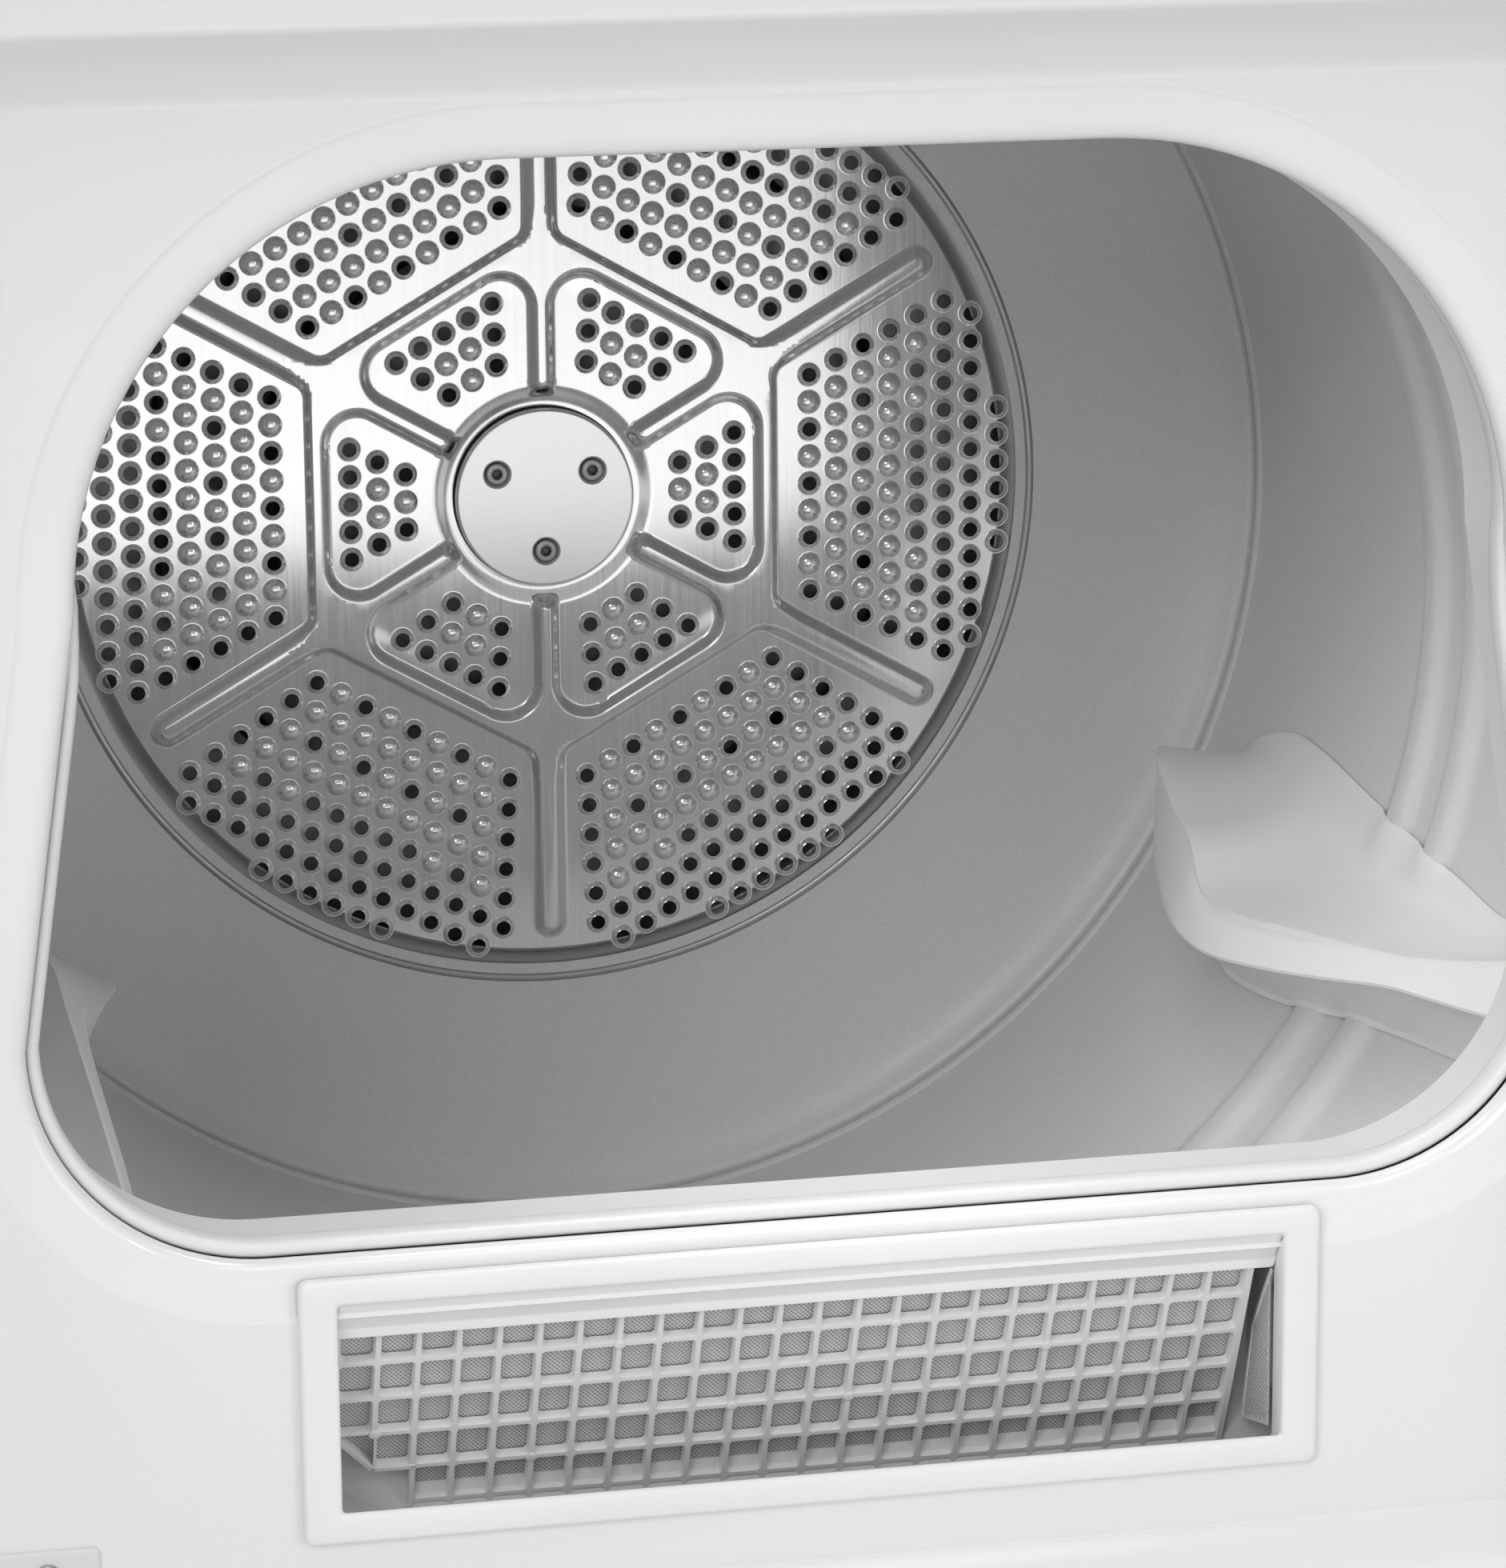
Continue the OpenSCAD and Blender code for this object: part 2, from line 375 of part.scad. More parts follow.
// lifting vane: broad curved foot at the back narrowing to the front, notched over the beads
module baffle(a) translate([0, 0, drum_z]) rotate([0, -a, 0]) difference() {
  intersection() {
    ycyl(drum_r, bf_y[0], bf_y[1]);
    xz(bf_y[0], bf_y[1]) polygon([[drum_r + 2, -58], [drum_r - 12, -54], [drum_r - baffle_h, -27], [drum_r - baffle_h - 1, 14], [drum_r - 44, 22], [drum_r - 20, 34], [drum_r - 8, 46], [drum_r + 2, 50]]);
    translate([0, 0, -80]) linear_extrude(160) polygon([[drum_r + 2, bf_y[0]], [drum_r - 14, bf_y[0]], [drum_r - 26, bf_y[0] + 10], [drum_r - baffle_h, bf_y[0] + 330], [drum_r - baffle_h, bf_y[1] - 34], [drum_r - 30, bf_y[1] - 12], [drum_r - 10, bf_y[1]], [drum_r + 2, bf_y[1]]]);
    translate([drum_r - 90, 0, 0]) rotate([90, 0, 90]) linear_extrude(100) polygon([for (q = [[76, 8], [80, 38], [159, 40], [264, 42], [361, 46], [430, 45], [470, 32], [502, 6], [500, -51], [391, -54], [340, -44], [259, -29], [159, -10]]) [rec_y + q[0], q[1]]]);
  }
  for (y = bead_y) yrev2() translate([drum_r - bead_h, y]) square([bead_h + 4, bead_w]);
}
module yrev2() rotate([-90, 0, 0]) rotate_extrude($fn = 160) children();
bf_y = [rec_y + 76, rec_y + 502];
module baffle_1() color("whitesmoke") baffle(-25);
module baffle_2() color("whitesmoke") baffle(95);
module baffle_3() color("whitesmoke") baffle(-141);
module drum_shaft() color("silver") { ycyl(12.5, plate_y + 1.4, heater_y1 + 16, 0, drum_z); ycyl(36, plate_y + 0.2, plate_y + 3.2, 0, drum_z); }
// ---- console
con_y0 = back_y - 118;
module con_profile(g = 0) polygon([[con_y0 + g, cab_h + g], [con_y0 + 26 + g, cab_h + console_h - 14], [con_y0 + 38, cab_h + console_h - g], [back_y - 14, cab_h + console_h - g], [back_y - 6 - g, cab_h + console_h - 8], [back_y - 6 - g, cab_h + g]]);
module console_shell() color("white") difference() {
  yz(-half_w + 4, half_w - 4) con_profile(0);
  yz(-half_w + 7, half_w - 7) con_profile(2.5);
  on_fascia(0, 75) translate([-half_w + 20, -58, -16]) cube([2 * half_w - 40, 116, 32]);
}
fas_a = atan2(26, console_h - 14);
module on_fascia(x, s) translate([x, con_y0 + 26 * s / (console_h - 14), cab_h + s]) rotate([90 - fas_a, 0, 0]) children();
module control_fascia() color("whitesmoke") difference() {
  on_fascia(0, 75) translate([-half_w + 20, -58, -2.4]) cube([2 * half_w - 40, 116, 2.6]);
  on_fascia(190, 75) translate([0, 0, -10]) cylinder(r = 5.2, h = 20, $fn = 48);
  on_fascia(60, 75) translate([0, 0, -10]) cylinder(r = 5.2, h = 20, $fn = 48);
  on_fascia(-60, 75) translate([0, 0, -10]) cylinder(r = 11.3, h = 20, $fn = 48);
}
module knob(r, h) { difference() { union() { cylinder(r = r, h = 3, $fn = 64); cylinder(r = r - 4, h = h, $fn = 64); } translate([-r, -1, h - 0.8]) cube([r * 0.9, 2, 2]); } translate([0, 0, -14]) cylinder(r = 5.15, h = 14, $fn = 48); }
module timer_knob() color("white") on_fascia(190, 75) translate([0, 0, 0.8]) knob(31, 22);
module selector_knob() color("white") on_fascia(60, 75) translate([0, 0, 0.8]) knob(21, 20);
module start_button() color("white") on_fascia(-60, 75) translate([0, 0, -8]) cylinder(r = 11, h = 14, $fn = 64);
module terminal_cover() color("gainsboro") block(120, 240, back_y, back_y + 10, 470, 550);
// ---- door, built closed and swung open about the hinge pin
module swung() translate([hinge_x, hinge_y, 0]) rotate([0, 0, door_swing]) translate([-hinge_x, -hinge_y, 0]) children();
module door_outer_panel() color("white") swung() difference() {
  hull() {
    xz(door_y[0] + 6, door_y[1] - 12) rrect(door_x[0], door_x[1], door_z[0], door_z[1], 40);
    xz(door_y[0], door_y[0] + 2) rrect(door_x[0] + 5, door_x[1] - 5, door_z[0] + 5, door_z[1] - 5, 36);
  }
  xz(door_y[0] + 8, door_y[1]) rrect(door_x[0] + 2, door_x[1] - 2, door_z[0] + 2, door_z[1] - 2, 38);
  xz(door_y[0] + 2, door_y[0] + 9) rrect(door_x[0] + 8, door_x[1] - 8, door_z[0] + 8, door_z[1] - 8, 33);
  block(door_x[0] - 5, door_x[0] + 22, door_y[0] - 5, door_y[0] + 24, drum_z - 40, drum_z + 80);
}
module door_inner_panel() color("white") swung() {
  difference() {
    xz(door_y[1] - 12, door_y[1] - 9) rrect(door_x[0], door_x[1], door_z[0], door_z[1], 40);
    xz(door_y[1] - 30, door_y[1] + 5) rrect(door_x[0] + 60, door_x[1] - 60, door_z[0] + 60, door_z[1] - 60, 50);
  }
  xz(door_y[1] - 9, door_y[1]) difference() { rrect(door_x[0] + 36, door_x[1] - 36, door_z[0] + 28, door_z[1] - 28, 60); rrect(door_x[0] + 39, door_x[1] - 39, door_z[0] + 31, door_z[1] - 31, 57); }
  // pressed pan in the middle
  xz(door_y[1] - 26, door_y[1] - 12) difference() { rrect(door_x[0] + 58, door_x[1] - 58, door_z[0] + 58, door_z[1] - 58, 52); rrect(door_x[0] + 60, door_x[1] - 60, door_z[0] + 60, door_z[1] - 60, 50); }
  xz(door_y[1] - 28, door_y[1] - 26) rrect(door_x[0] + 58, door_x[1] - 58, door_z[0] + 58, door_z[1] - 58, 52);
}
module door_handle() color("white") swung() difference() {
  block(door_x[0], door_x[0] + 22, door_y[0], door_y[0] + 24, drum_z - 40, drum_z + 80);
  block(door_x[0] - 1, door_x[0] + 18, door_y[0] + 5, door_y[0] + 22, drum_z - 34, drum_z + 74);
}
module door_seal() color("gray") swung() xz(door_y[1] - 9, door_y[1] - 1) difference() { rrect(door_x[0] + 22, door_x[1] - 22, door_z[0] + 14, door_z[1] - 14, 60); rrect(door_x[0] + 30, door_x[1] - 30, door_z[0] + 22, door_z[1] - 22, 54); }
module door_hinge_straps() color("silver") swung() for (z = hz) difference() {
  union() {
    translate([hinge_x, hinge_y, z - 14]) cylinder(r = 6, h = 28, $fn = 48);
    block(door_x[1], hinge_x - 4, hinge_y - 3, hinge_y + 1, z - 14, z + 14);
  }
  translate([hinge_x, hinge_y, z - 20]) cylinder(r = 3.05, h = 40, $fn = 48);
}
module door_strike() color("silver") swung() ycyl(4, door_y[1] - 9, door_y[1] + 14, catch_p[0], catch_p[1], 24);
module hinge_brackets() color("silver") for (z = hz) difference() {
  union() {
    for (s = [-1, 1]) translate([hinge_x, hinge_y, z + s * 22.5 - 8]) cylinder(r = 6, h = 16, $fn = 48);
    block(hinge_x - 6, half_w - 4, face_y - 3, face_y, z - 36, z + 36);
    for (s = [-1, 1]) block(hinge_x + 2, hinge_x + 6, hinge_y, face_y - 2, z + s * 22.5 - 8, z + s * 22.5 + 8);
  }
  translate([hinge_x, hinge_y, z - 40]) cylinder(r = 3, h = 80, $fn = 48);
}
module hinge_pins() color("gray") for (z = hz) translate([hinge_x, hinge_y, z - 31]) { cylinder(r = 3, h = 62, $fn = 48); translate([0, 0, 62]) cylinder(r = 5, h = 2, $fn = 48); }
module door_catch() color("white") difference() {
  block(catch_p[0] - 9, catch_p[0] + 9, rec_y - 1, rec_y + 20, catch_p[1] - 12, catch_p[1] + 12);
  ycyl(6.8, rec_y - 5, rec_y + 17, catch_p[0], catch_p[1], 32);
}
module door_switch_body() color("white") difference() { ycyl(6.05, rec_y, rec_y + 18, sw[0], sw[1], 32); ycyl(4.1, rec_y - 1, rec_y + 12, sw[0], sw[1], 32); }
module door_switch_button() color("white") ycyl(4, rec_y - 2.4, rec_y + 7, sw[0], sw[1], 32);
module hinge_hole_covers() color("white") for (p = cover_pts) difference() { block(p[0] - 18, p[0] + 18, rec_y - 2.4, rec_y, p[1] - 9, p[1] + 9); ycyl(2.1, rec_y - 5, rec_y + 5, p[0], p[1], 24); }
module cabinet_screws() color("silver") {
  for (p = cover_pts) { ycyl(2.1, rec_y - 2.4, rec_y + 9, p[0], p[1], 24); ycyl(4.5, rec_y - 4.4, rec_y - 2.4, p[0], p[1], 24); }
  for (z = [60, 300, 600, 860], s = [-1, 1]) { ycyl(4, back_y, back_y + 2.2, s * (half_w - 12), z, 24); }
}
module foot(s, t) translate([s * foot_x, t * foot_y, 0]) color("dimgray") { cylinder(r = 17, h = 8, $fn = 48); translate([0, 0, 8]) cylinder(r = 10, h = 5, $fn = 6); cylinder(r = 4.5, h = 44, $fn = 32); }
module foot_front_left() foot(-1, -1);
module foot_front_right() foot(1, -1);
module foot_rear_left() foot(-1, 1);
module foot_rear_right() foot(1, 1);
base_pan();
left_side_panel();
right_side_panel();
rear_panel();
top_deck();
front_panel();
front_bulkhead();
drum_glides();
front_drum_seal();
lint_bezel();
lint_duct();
blower_housing();
blower_cover();
exhaust_duct();
heater_housing();
heater_coils();
rear_drum_seal();
rear_bearing_housing();
rear_bearing_sleeve();
drive_belt();
motor_housing();
motor_bracket();
console_shell();
control_fascia();
terminal_cover();
hinge_brackets();
hinge_pins();
door_catch();
door_switch_body();
hinge_hole_covers();
cabinet_screws();
drum_shell();
drum_back();
perforated_plate();
hub_disc();
hub_screws();
baffle_1();
baffle_2();
baffle_3();
drum_shaft();
motor_shaft();
blower_wheel();
idler_arm();
idler_pulley();
lint_filter_frame();
lint_filter_mesh();
door_outer_panel();
door_inner_panel();
door_handle();
door_seal();
door_hinge_straps();
door_strike();
timer_knob();
selector_knob();
start_button();
door_switch_button();
foot_front_left();
foot_front_right();
foot_rear_left();
foot_rear_right();
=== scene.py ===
import math
import bpy
import numpy as np
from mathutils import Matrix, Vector
from mathutils.geometry import delaunay_2d_cdt


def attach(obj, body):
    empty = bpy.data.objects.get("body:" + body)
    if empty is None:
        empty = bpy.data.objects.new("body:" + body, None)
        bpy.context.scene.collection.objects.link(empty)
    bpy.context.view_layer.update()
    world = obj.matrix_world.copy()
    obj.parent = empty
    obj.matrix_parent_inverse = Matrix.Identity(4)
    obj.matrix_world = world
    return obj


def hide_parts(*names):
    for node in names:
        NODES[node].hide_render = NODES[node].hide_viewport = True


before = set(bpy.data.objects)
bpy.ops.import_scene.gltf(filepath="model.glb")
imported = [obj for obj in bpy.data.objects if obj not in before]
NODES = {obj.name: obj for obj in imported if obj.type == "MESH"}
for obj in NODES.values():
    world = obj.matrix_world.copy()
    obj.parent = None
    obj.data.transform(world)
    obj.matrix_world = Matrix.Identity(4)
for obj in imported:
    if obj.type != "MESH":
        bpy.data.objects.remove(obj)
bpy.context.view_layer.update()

FY, RY, DZ = -0.350, -0.328, 0.545          # face, recess plane, drum axis height
DY0, DY1, PY = -0.266, 0.222, 0.254         # drum lip, back seam, back plate
HW, BY, TOP, SIDE_TOP = 0.343, 0.350, 0.914, 0.898
DR = 0.325

# ------------------------------------------------------------------ camera
cam_d = bpy.data.cameras.new("camera")
cam = bpy.data.objects.new("camera", cam_d)
bpy.context.scene.collection.objects.link(cam)
bpy.context.scene.camera = cam
cam_d.sensor_fit = 'VERTICAL'
cam_d.sensor_height = 36.0
cam_d.sensor_width = 36.0 * 1882 / 1960
cam_d.lens = 6500.0 * 36.0 / 1960.0
cam_d.shift_x = 0.0
cam_d.shift_y = -0.1
cam_d.clip_start = 0.05
cam_d.clip_end = 60.0


def cam_axes(yaw, pitch, roll):
    fwd = Vector((math.sin(yaw) * math.cos(pitch), math.cos(yaw) * math.cos(pitch), math.sin(pitch)))
    right = Vector((math.cos(yaw), -math.sin(yaw), 0.0))
    up = right.cross(fwd)
    r2 = right * math.cos(roll) + up * math.sin(roll)
    u2 = -right * math.sin(roll) + up * math.cos(roll)
    return r2, u2, fwd


def place_camera():
    from mathutils import Matrix
    r, u, f = cam_axes(0.1985, -0.2231, -0.0076)
    m = Matrix(((r.x, u.x, -f.x, -0.3605), (r.y, u.y, -f.y, RY - 1.6865), (r.z, u.z, -f.z, DZ + 0.459), (0, 0, 0, 1)))
    cam.matrix_world = m


place_camera()


# ------------------------------------------------------------------ materials
def new_mat(name):
    m = bpy.data.materials.new(name)
    m.use_nodes = True
    return m, m.node_tree, m.node_tree.nodes, m.node_tree.links, m.node_tree.nodes["Principled BSDF"]


def n(nodes, kind, **kw):
    x = nodes.new(kind)
    for k, v in kw.items():
        setattr(x, k, v)
    return x


def coords(nodes, links, scale=(1, 1, 1)):
    tc = n(nodes, "ShaderNodeTexCoord")
    mp = n(nodes, "ShaderNodeMapping")
    mp.inputs["Scale"].default_value = scale
    links.new(tc.outputs["Object"], mp.inputs["Vector"])
    return mp.outputs["Vector"]


def noise(nodes, links, vec, scale, detail=3.0, rough=0.55):
    t = n(nodes, "ShaderNodeTexNoise")
    t.inputs["Scale"].default_value = scale
    t.inputs["Detail"].default_value = detail
    t.inputs["Roughness"].default_value = rough
    links.new(vec, t.inputs["Vector"])
    return t.outputs["Fac"]


def ramp(nodes, links, fac, stops):
    r = n(nodes, "ShaderNodeValToRGB")
    el = r.color_ramp.elements
    while len(el) < len(stops):
        el.new(0.5)
    for e, (p, c) in zip(el, stops):
        e.position = p
        e.color = (c[0], c[1], c[2], 1) if isinstance(c, (tuple, list)) else (c, c, c, 1)
    links.new(fac, r.inputs["Fac"])
    return r.outputs["Color"]


def bump(nodes, links, p, height, strength, dist):
    b = n(nodes, "ShaderNodeBump")
    b.inputs["Strength"].default_value = strength
    b.inputs["Distance"].default_value = dist
    links.new(height, b.inputs["Height"])
    links.new(b.outputs["Normal"], p.inputs["Normal"])
    return b


def enamel(name, base, rough=0.2, coat=0.6, peel=0.10):
    m, t, N, L, p = new_mat(name)
    v = coords(N, L)
    big = noise(N, L, v, 3.0, 2.0)
    L.new(ramp(N, L, big, [(0.3, [c * 0.975 for c in base]), (0.7, base)]), p.inputs["Base Color"])
    fine = noise(N, L, v, 420.0, 2.0)
    L.new(ramp(N, L, noise(N, L, v, 60.0, 3.0), [(0.3, rough * 0.85), (0.75, rough * 1.2)]), p.inputs["Roughness"])
    bump(N, L, p, fine, peel, 0.0004)
    p.inputs["Coat Weight"].default_value = coat
    p.inputs["Coat Roughness"].default_value = 0.06
    p.inputs["IOR"].default_value = 1.5
    return m


def plastic(name, base, rough=0.4, grain=900.0, strength=0.12, spec=0.5, sss=0.0):
    m, t, N, L, p = new_mat(name)
    v = coords(N, L)
    L.new(ramp(N, L, noise(N, L, v, 8.0, 4.0), [(0.3, [c * 0.96 for c in base]), (0.7, [min(1, c * 1.01) for c in base])]), p.inputs["Base Color"])
    L.new(ramp(N, L, noise(N, L, v, 90.0, 4.0), [(0.3, rough * 0.85), (0.7, rough * 1.15)]), p.inputs["Roughness"])
    bump(N, L, p, noise(N, L, v, grain, 2.0), strength, 0.0003)
    p.inputs["Specular IOR Level"].default_value = spec
    return m


def metal(name, base, rough, stretch=(1, 60, 60), strength=0.10, scale=30.0, spangle=0.0, aniso=0.0):
    m, t, N, L, p = new_mat(name)
    v = coords(N, L, stretch)
    br = noise(N, L, v, scale, 4.0, 0.6)
    c0 = [c * (0.90 - spangle) for c in base]
    if spangle > 0:
        vo = n(N, "ShaderNodeTexVoronoi")
        vo.inputs["Scale"].default_value = 90.0
        L.new(coords(N, L), vo.inputs["Vector"])
        sep = n(N, "ShaderNodeSeparateColor")
        L.new(vo.outputs["Color"], sep.inputs["Color"])
        L.new(ramp(N, L, sep.outputs["Red"], [(0.0, c0), (1.0, base)]), p.inputs["Base Color"])
    else:
        L.new(ramp(N, L, br, [(0.3, c0), (0.7, base)]), p.inputs["Base Color"])
    L.new(ramp(N, L, br, [(0.3, rough * 0.8), (0.7, rough * 1.25)]), p.inputs["Roughness"])
    p.inputs["Metallic"].default_value = 1.0
    p.inputs["Anisotropic"].default_value = aniso
    bump(N, L, p, br, strength, 0.0003)
    return m


M = {}
M["enamel"] = enamel("white_enamel_gloss", (0.78, 0.78, 0.78), rough=0.22, coat=0.35, peel=0.05)
M["enamel_side"] = enamel("white_enamel_side", (0.76, 0.76, 0.76), rough=0.22, coat=0.35, peel=0.08)
M["plastic"] = plastic("white_plastic_satin", (0.70, 0.70, 0.70), 0.38)
M["ring"] = plastic("bulkhead_plastic", (0.74, 0.74, 0.74), 0.34, spec=0.5)
M["vane"] = plastic("baffle_plastic", (0.84, 0.84, 0.84), 0.335, grain=1400, strength=0.05)
M["bezel"] = plastic("bezel_plastic", (0.80, 0.80, 0.80), 0.34, grain=1200, strength=0.08)
M["grid"] = plastic("filter_grid_plastic", (0.70, 0.70, 0.70), 0.42)
M["knob"] = plastic("knob_plastic", (0.76, 0.76, 0.76), 0.34, strength=0.05)
M["stainless"] = metal("stainless_back_plate", (0.78, 0.78, 0.78), 0.13, (30, 1, 1), 0.035, 26.0, aniso=0.0)
# rim steel: a darker, duller copy of the stainless plate, painted shade for the dark band along the plate's rolled rim
M["rim"] = metal("rim_steel_painted_shade", (0.42, 0.42, 0.42), 0.36, (1, 1, 1), 0.02, 90.0)
M["hubsteel"] = metal("stainless_hub", (0.76, 0.76, 0.765), 0.25, (1, 1, 1), 0.02, 40.0)
M["zinc"] = metal("zinc_plated_steel", (0.60, 0.61, 0.62), 0.36, (1, 1, 1), 0.06, 60.0, spangle=0.12)
# dark steel: own colour of the heater coils and motor housing, and painted shade in the hub cap screw seats and sockets
M["dark"] = metal("dark_steel", (0.16, 0.16, 0.165), 0.45, (1, 1, 1), 0.2, 180.0)
M["screw"] = metal("screw_steel", (0.45, 0.45, 0.46), 0.36, (1, 1, 1), 0.08, 300.0)
M["brass"] = metal("sintered_bronze", (0.62, 0.47, 0.25), 0.42, (1, 1, 1), 0.25, 700.0)
M["rubber"] = plastic("black_rubber", (0.025, 0.025, 0.026), 0.62, 700, 0.3, 0.35)
M["seal"] = plastic("grey_rubber_seal", (0.30, 0.30, 0.30), 0.55, 700, 0.25, 0.4)
M["glide"] = plastic("glide_plastic", (0.72, 0.70, 0.64), 0.35)
M["black"] = plastic("black_hollow", (0.012, 0.012, 0.012), 0.8, 300, 0.1, 0.2)


def brushed_hub():
    m, t, N, L, p = new_mat("hub_brushed_diagonal")
    tc = n(N, "ShaderNodeTexCoord")
    mp = n(N, "ShaderNodeMapping")
    mp.inputs["Rotation"].default_value = (0, math.radians(-24), 0)
    mp2 = n(N, "ShaderNodeMapping")
    mp2.inputs["Scale"].default_value = (14, 1, 420)
    L.new(tc.outputs["Object"], mp.inputs["Vector"])
    L.new(mp.outputs["Vector"], mp2.inputs["Vector"])
    br = noise(N, L, mp2.outputs["Vector"], 6.0, 4.0, 0.65)
    L.new(ramp(N, L, br, [(0.3, (0.68, 0.68, 0.685)), (0.7, (0.78, 0.78, 0.785))]), p.inputs["Base Color"])
    L.new(ramp(N, L, br, [(0.3, 0.19), (0.7, 0.26)]), p.inputs["Roughness"])
    p.inputs["Metallic"].default_value = 1.0
    bump(N, L, p, br, 0.05, 0.0002)
    return m


M["hub"] = brushed_hub()


def drum_paint():
    m, t, N, L, p = new_mat("drum_grey_coating")
    v = coords(N, L)
    a = noise(N, L, v, 900.0, 3.0, 0.7)
    b = noise(N, L, v, 5.0, 3.0)
    mix = n(N, "ShaderNodeMix", data_type='RGBA')
    mix.blend_type = 'MULTIPLY'
    mix.inputs[0].default_value = 1.0
    L.new(ramp(N, L, b, [(0.3, (0.70, 0.70, 0.70)), (0.7, (0.73, 0.73, 0.73))]), mix.inputs[6])
    L.new(ramp(N, L, a, [(0.35, 0.90), (0.65, 1.0)]), mix.inputs[7])
    L.new(mix.outputs[2], p.inputs["Base Color"])
    L.new(ramp(N, L, noise(N, L, v, 40.0, 4.0), [(0.3, 0.34), (0.7, 0.44)]), p.inputs["Roughness"])
    bump(N, L, p, a, 0.10, 0.0002)
    p.inputs["Specular IOR Level"].default_value = 0.5
    return m


M["drum"] = drum_paint()


def felt_mat():
    m, t, N, L, p = new_mat("pressed_felt")
    v = coords(N, L)
    a = noise(N, L, v, 350.0, 6.0, 0.8)
    L.new(ramp(N, L, a, [(0.3, (0.12, 0.12, 0.12)), (0.7, (0.30, 0.29, 0.28))]), p.inputs["Base Color"])
    p.inputs["Roughness"].default_value = 0.95
    p.inputs["Sheen Weight"].default_value = 0.4
    bump(N, L, p, a, 0.8, 0.001)
    return m


M["felt"] = felt_mat()


def screen_mat():
    m, t, N, L, p = new_mat("fine_filter_screen")
    tc = n(N, "ShaderNodeTexCoord")
    outs = []
    for rot in (math.radians(45), math.radians(-45)):
        mp = n(N, "ShaderNodeMapping")
        mp.inputs["Rotation"].default_value = (0, rot, 0)
        L.new(tc.outputs["Object"], mp.inputs["Vector"])
        w = n(N, "ShaderNodeTexWave")
        w.bands_direction = 'X'
        w.inputs["Scale"].default_value = 260.0
        L.new(mp.outputs["Vector"], w.inputs["Vector"])
        outs.append(w.outputs["Fac"])
    mx = n(N, "ShaderNodeMath", operation='MAXIMUM')
    L.new(outs[0], mx.inputs[0])
    L.new(outs[1], mx.inputs[1])
    L.new(ramp(N, L, mx.outputs[0], [(0.55, 0.26), (0.85, 0.58)]), p.inputs["Base Color"])
    p.inputs["Roughness"].default_value = 0.5
    bump(N, L, p, mx.outputs[0], 0.5, 0.0004)
    return m


M["screen"] = screen_mat()


# ------------------------------------------------------------------ mesh helpers
def make(name, verts, faces, mat, body, replaces=(), smooth=True, angle=35.0, mats=None, fmat=None):
    me = bpy.data.meshes.new(name)
    me.from_pydata([tuple(v) for v in verts], [], [tuple(f) for f in faces])
    me.validate()
    for x in (mats or [mat]):
        me.materials.append(x)
    if fmat is not None:
        for f, i in zip(me.polygons, fmat):
            f.material_index = i
    ob = bpy.data.objects.new(name, me)
    bpy.context.scene.collection.objects.link(ob)
    if smooth:
        for f in me.polygons:
            f.use_smooth = True
        if angle is not None:
            me.set_sharp_from_angle(angle=math.radians(angle))
    if replaces:
        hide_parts(*replaces)
    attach(ob, body)
    return ob


class Mesh:
    def __init__(s):
        s.v, s.f, s.m = [], [], []

    def add(s, verts, faces, mat=0):
        o = len(s.v)
        s.v.extend([tuple(map(float, p)) for p in verts])
        s.f.extend([tuple(int(i) + o for i in f) for f in faces])
        s.m.extend([mat] * len(faces))
        return o

    def loft(s, rings, closed=True, mat=0, flip=False, loop=False):
        k = len(rings[0])
        verts = [p for r in rings for p in r]
        faces = []
        m = k if closed else k - 1
        R = len(rings)
        for i in range(R if loop else R - 1):
            for j in range(m):
                a, b = i * k + j, i * k + (j + 1) % k
                i2 = (i + 1) % R
                c, d = i2 * k + (j + 1) % k, i2 * k + j
                faces.append((a, d, c, b) if flip else (a, b, c, d))
        s.add(verts, faces, mat)

    def cap(s, ring, mat=0, flip=False):
        f = list(range(len(ring)))
        s.add(ring, [f[::-1] if flip else f], mat)

    def planar(s, outer, holes, y, mat=0, flip=False, extra=None, func=None):
        """Triangles of a flat region in XZ with holes."""
        pts = [tuple(p) for p in outer]
        edges = [(i, (i + 1) % len(outer)) for i in range(len(outer))]
        for h in holes:
            o = len(pts)
            pts += [tuple(p) for p in h]
            edges += [(o + i, o + (i + 1) % len(h)) for i in range(len(h))]
        if extra is not None:
            pts += [tuple(p) for p in extra]
        V, E, F, _, _, _ = delaunay_2d_cdt([Vector(p) for p in pts], edges, [], 1, 1e-7)
        V = np.array([(p.x, p.y) for p in V])
        keep = []
        C = np.array([V[list(f)].mean(0) for f in F])
        ins = inside(C, np.array(outer))
        for h in holes:
            ins &= ~inside(C, np.array(h))
        for f, q in zip(F, ins):
            if q:
                a = V[list(f)]
                area = (a[1][0] - a[0][0]) * (a[2][1] - a[0][1]) - (a[2][0] - a[0][0]) * (a[1][1] - a[0][1])
                f = tuple(f) if area > 0 else tuple(f)[::-1]      # counter-clockwise in X,Z: normal towards -Y
                keep.append(f[::-1] if flip else f)
        Y = np.full(len(V), y) if func is None else func(V)
        used = sorted(set(i for f in keep for i in f))
        idx = {u: k for k, u in enumerate(used)}
        s.add([(V[u][0], Y[u], V[u][1]) for u in used], [tuple(idx[i] for i in f) for f in keep], mat)


def inside(P, poly):
    x, z = P[:, 0], P[:, 1]
    r = np.zeros(len(P), bool)
    n_ = len(poly)
    j = n_ - 1
    for i in range(n_):
        xi, zi = poly[i]
        xj, zj = poly[j]
        c = (zi > z) != (zj > z)
        if c.any():
            t = np.zeros(len(P))
            t[c] = (xj - xi) * (z[c] - zi) / (zj - zi) + xi
            r ^= c & (x < t)
        j = i
    return r


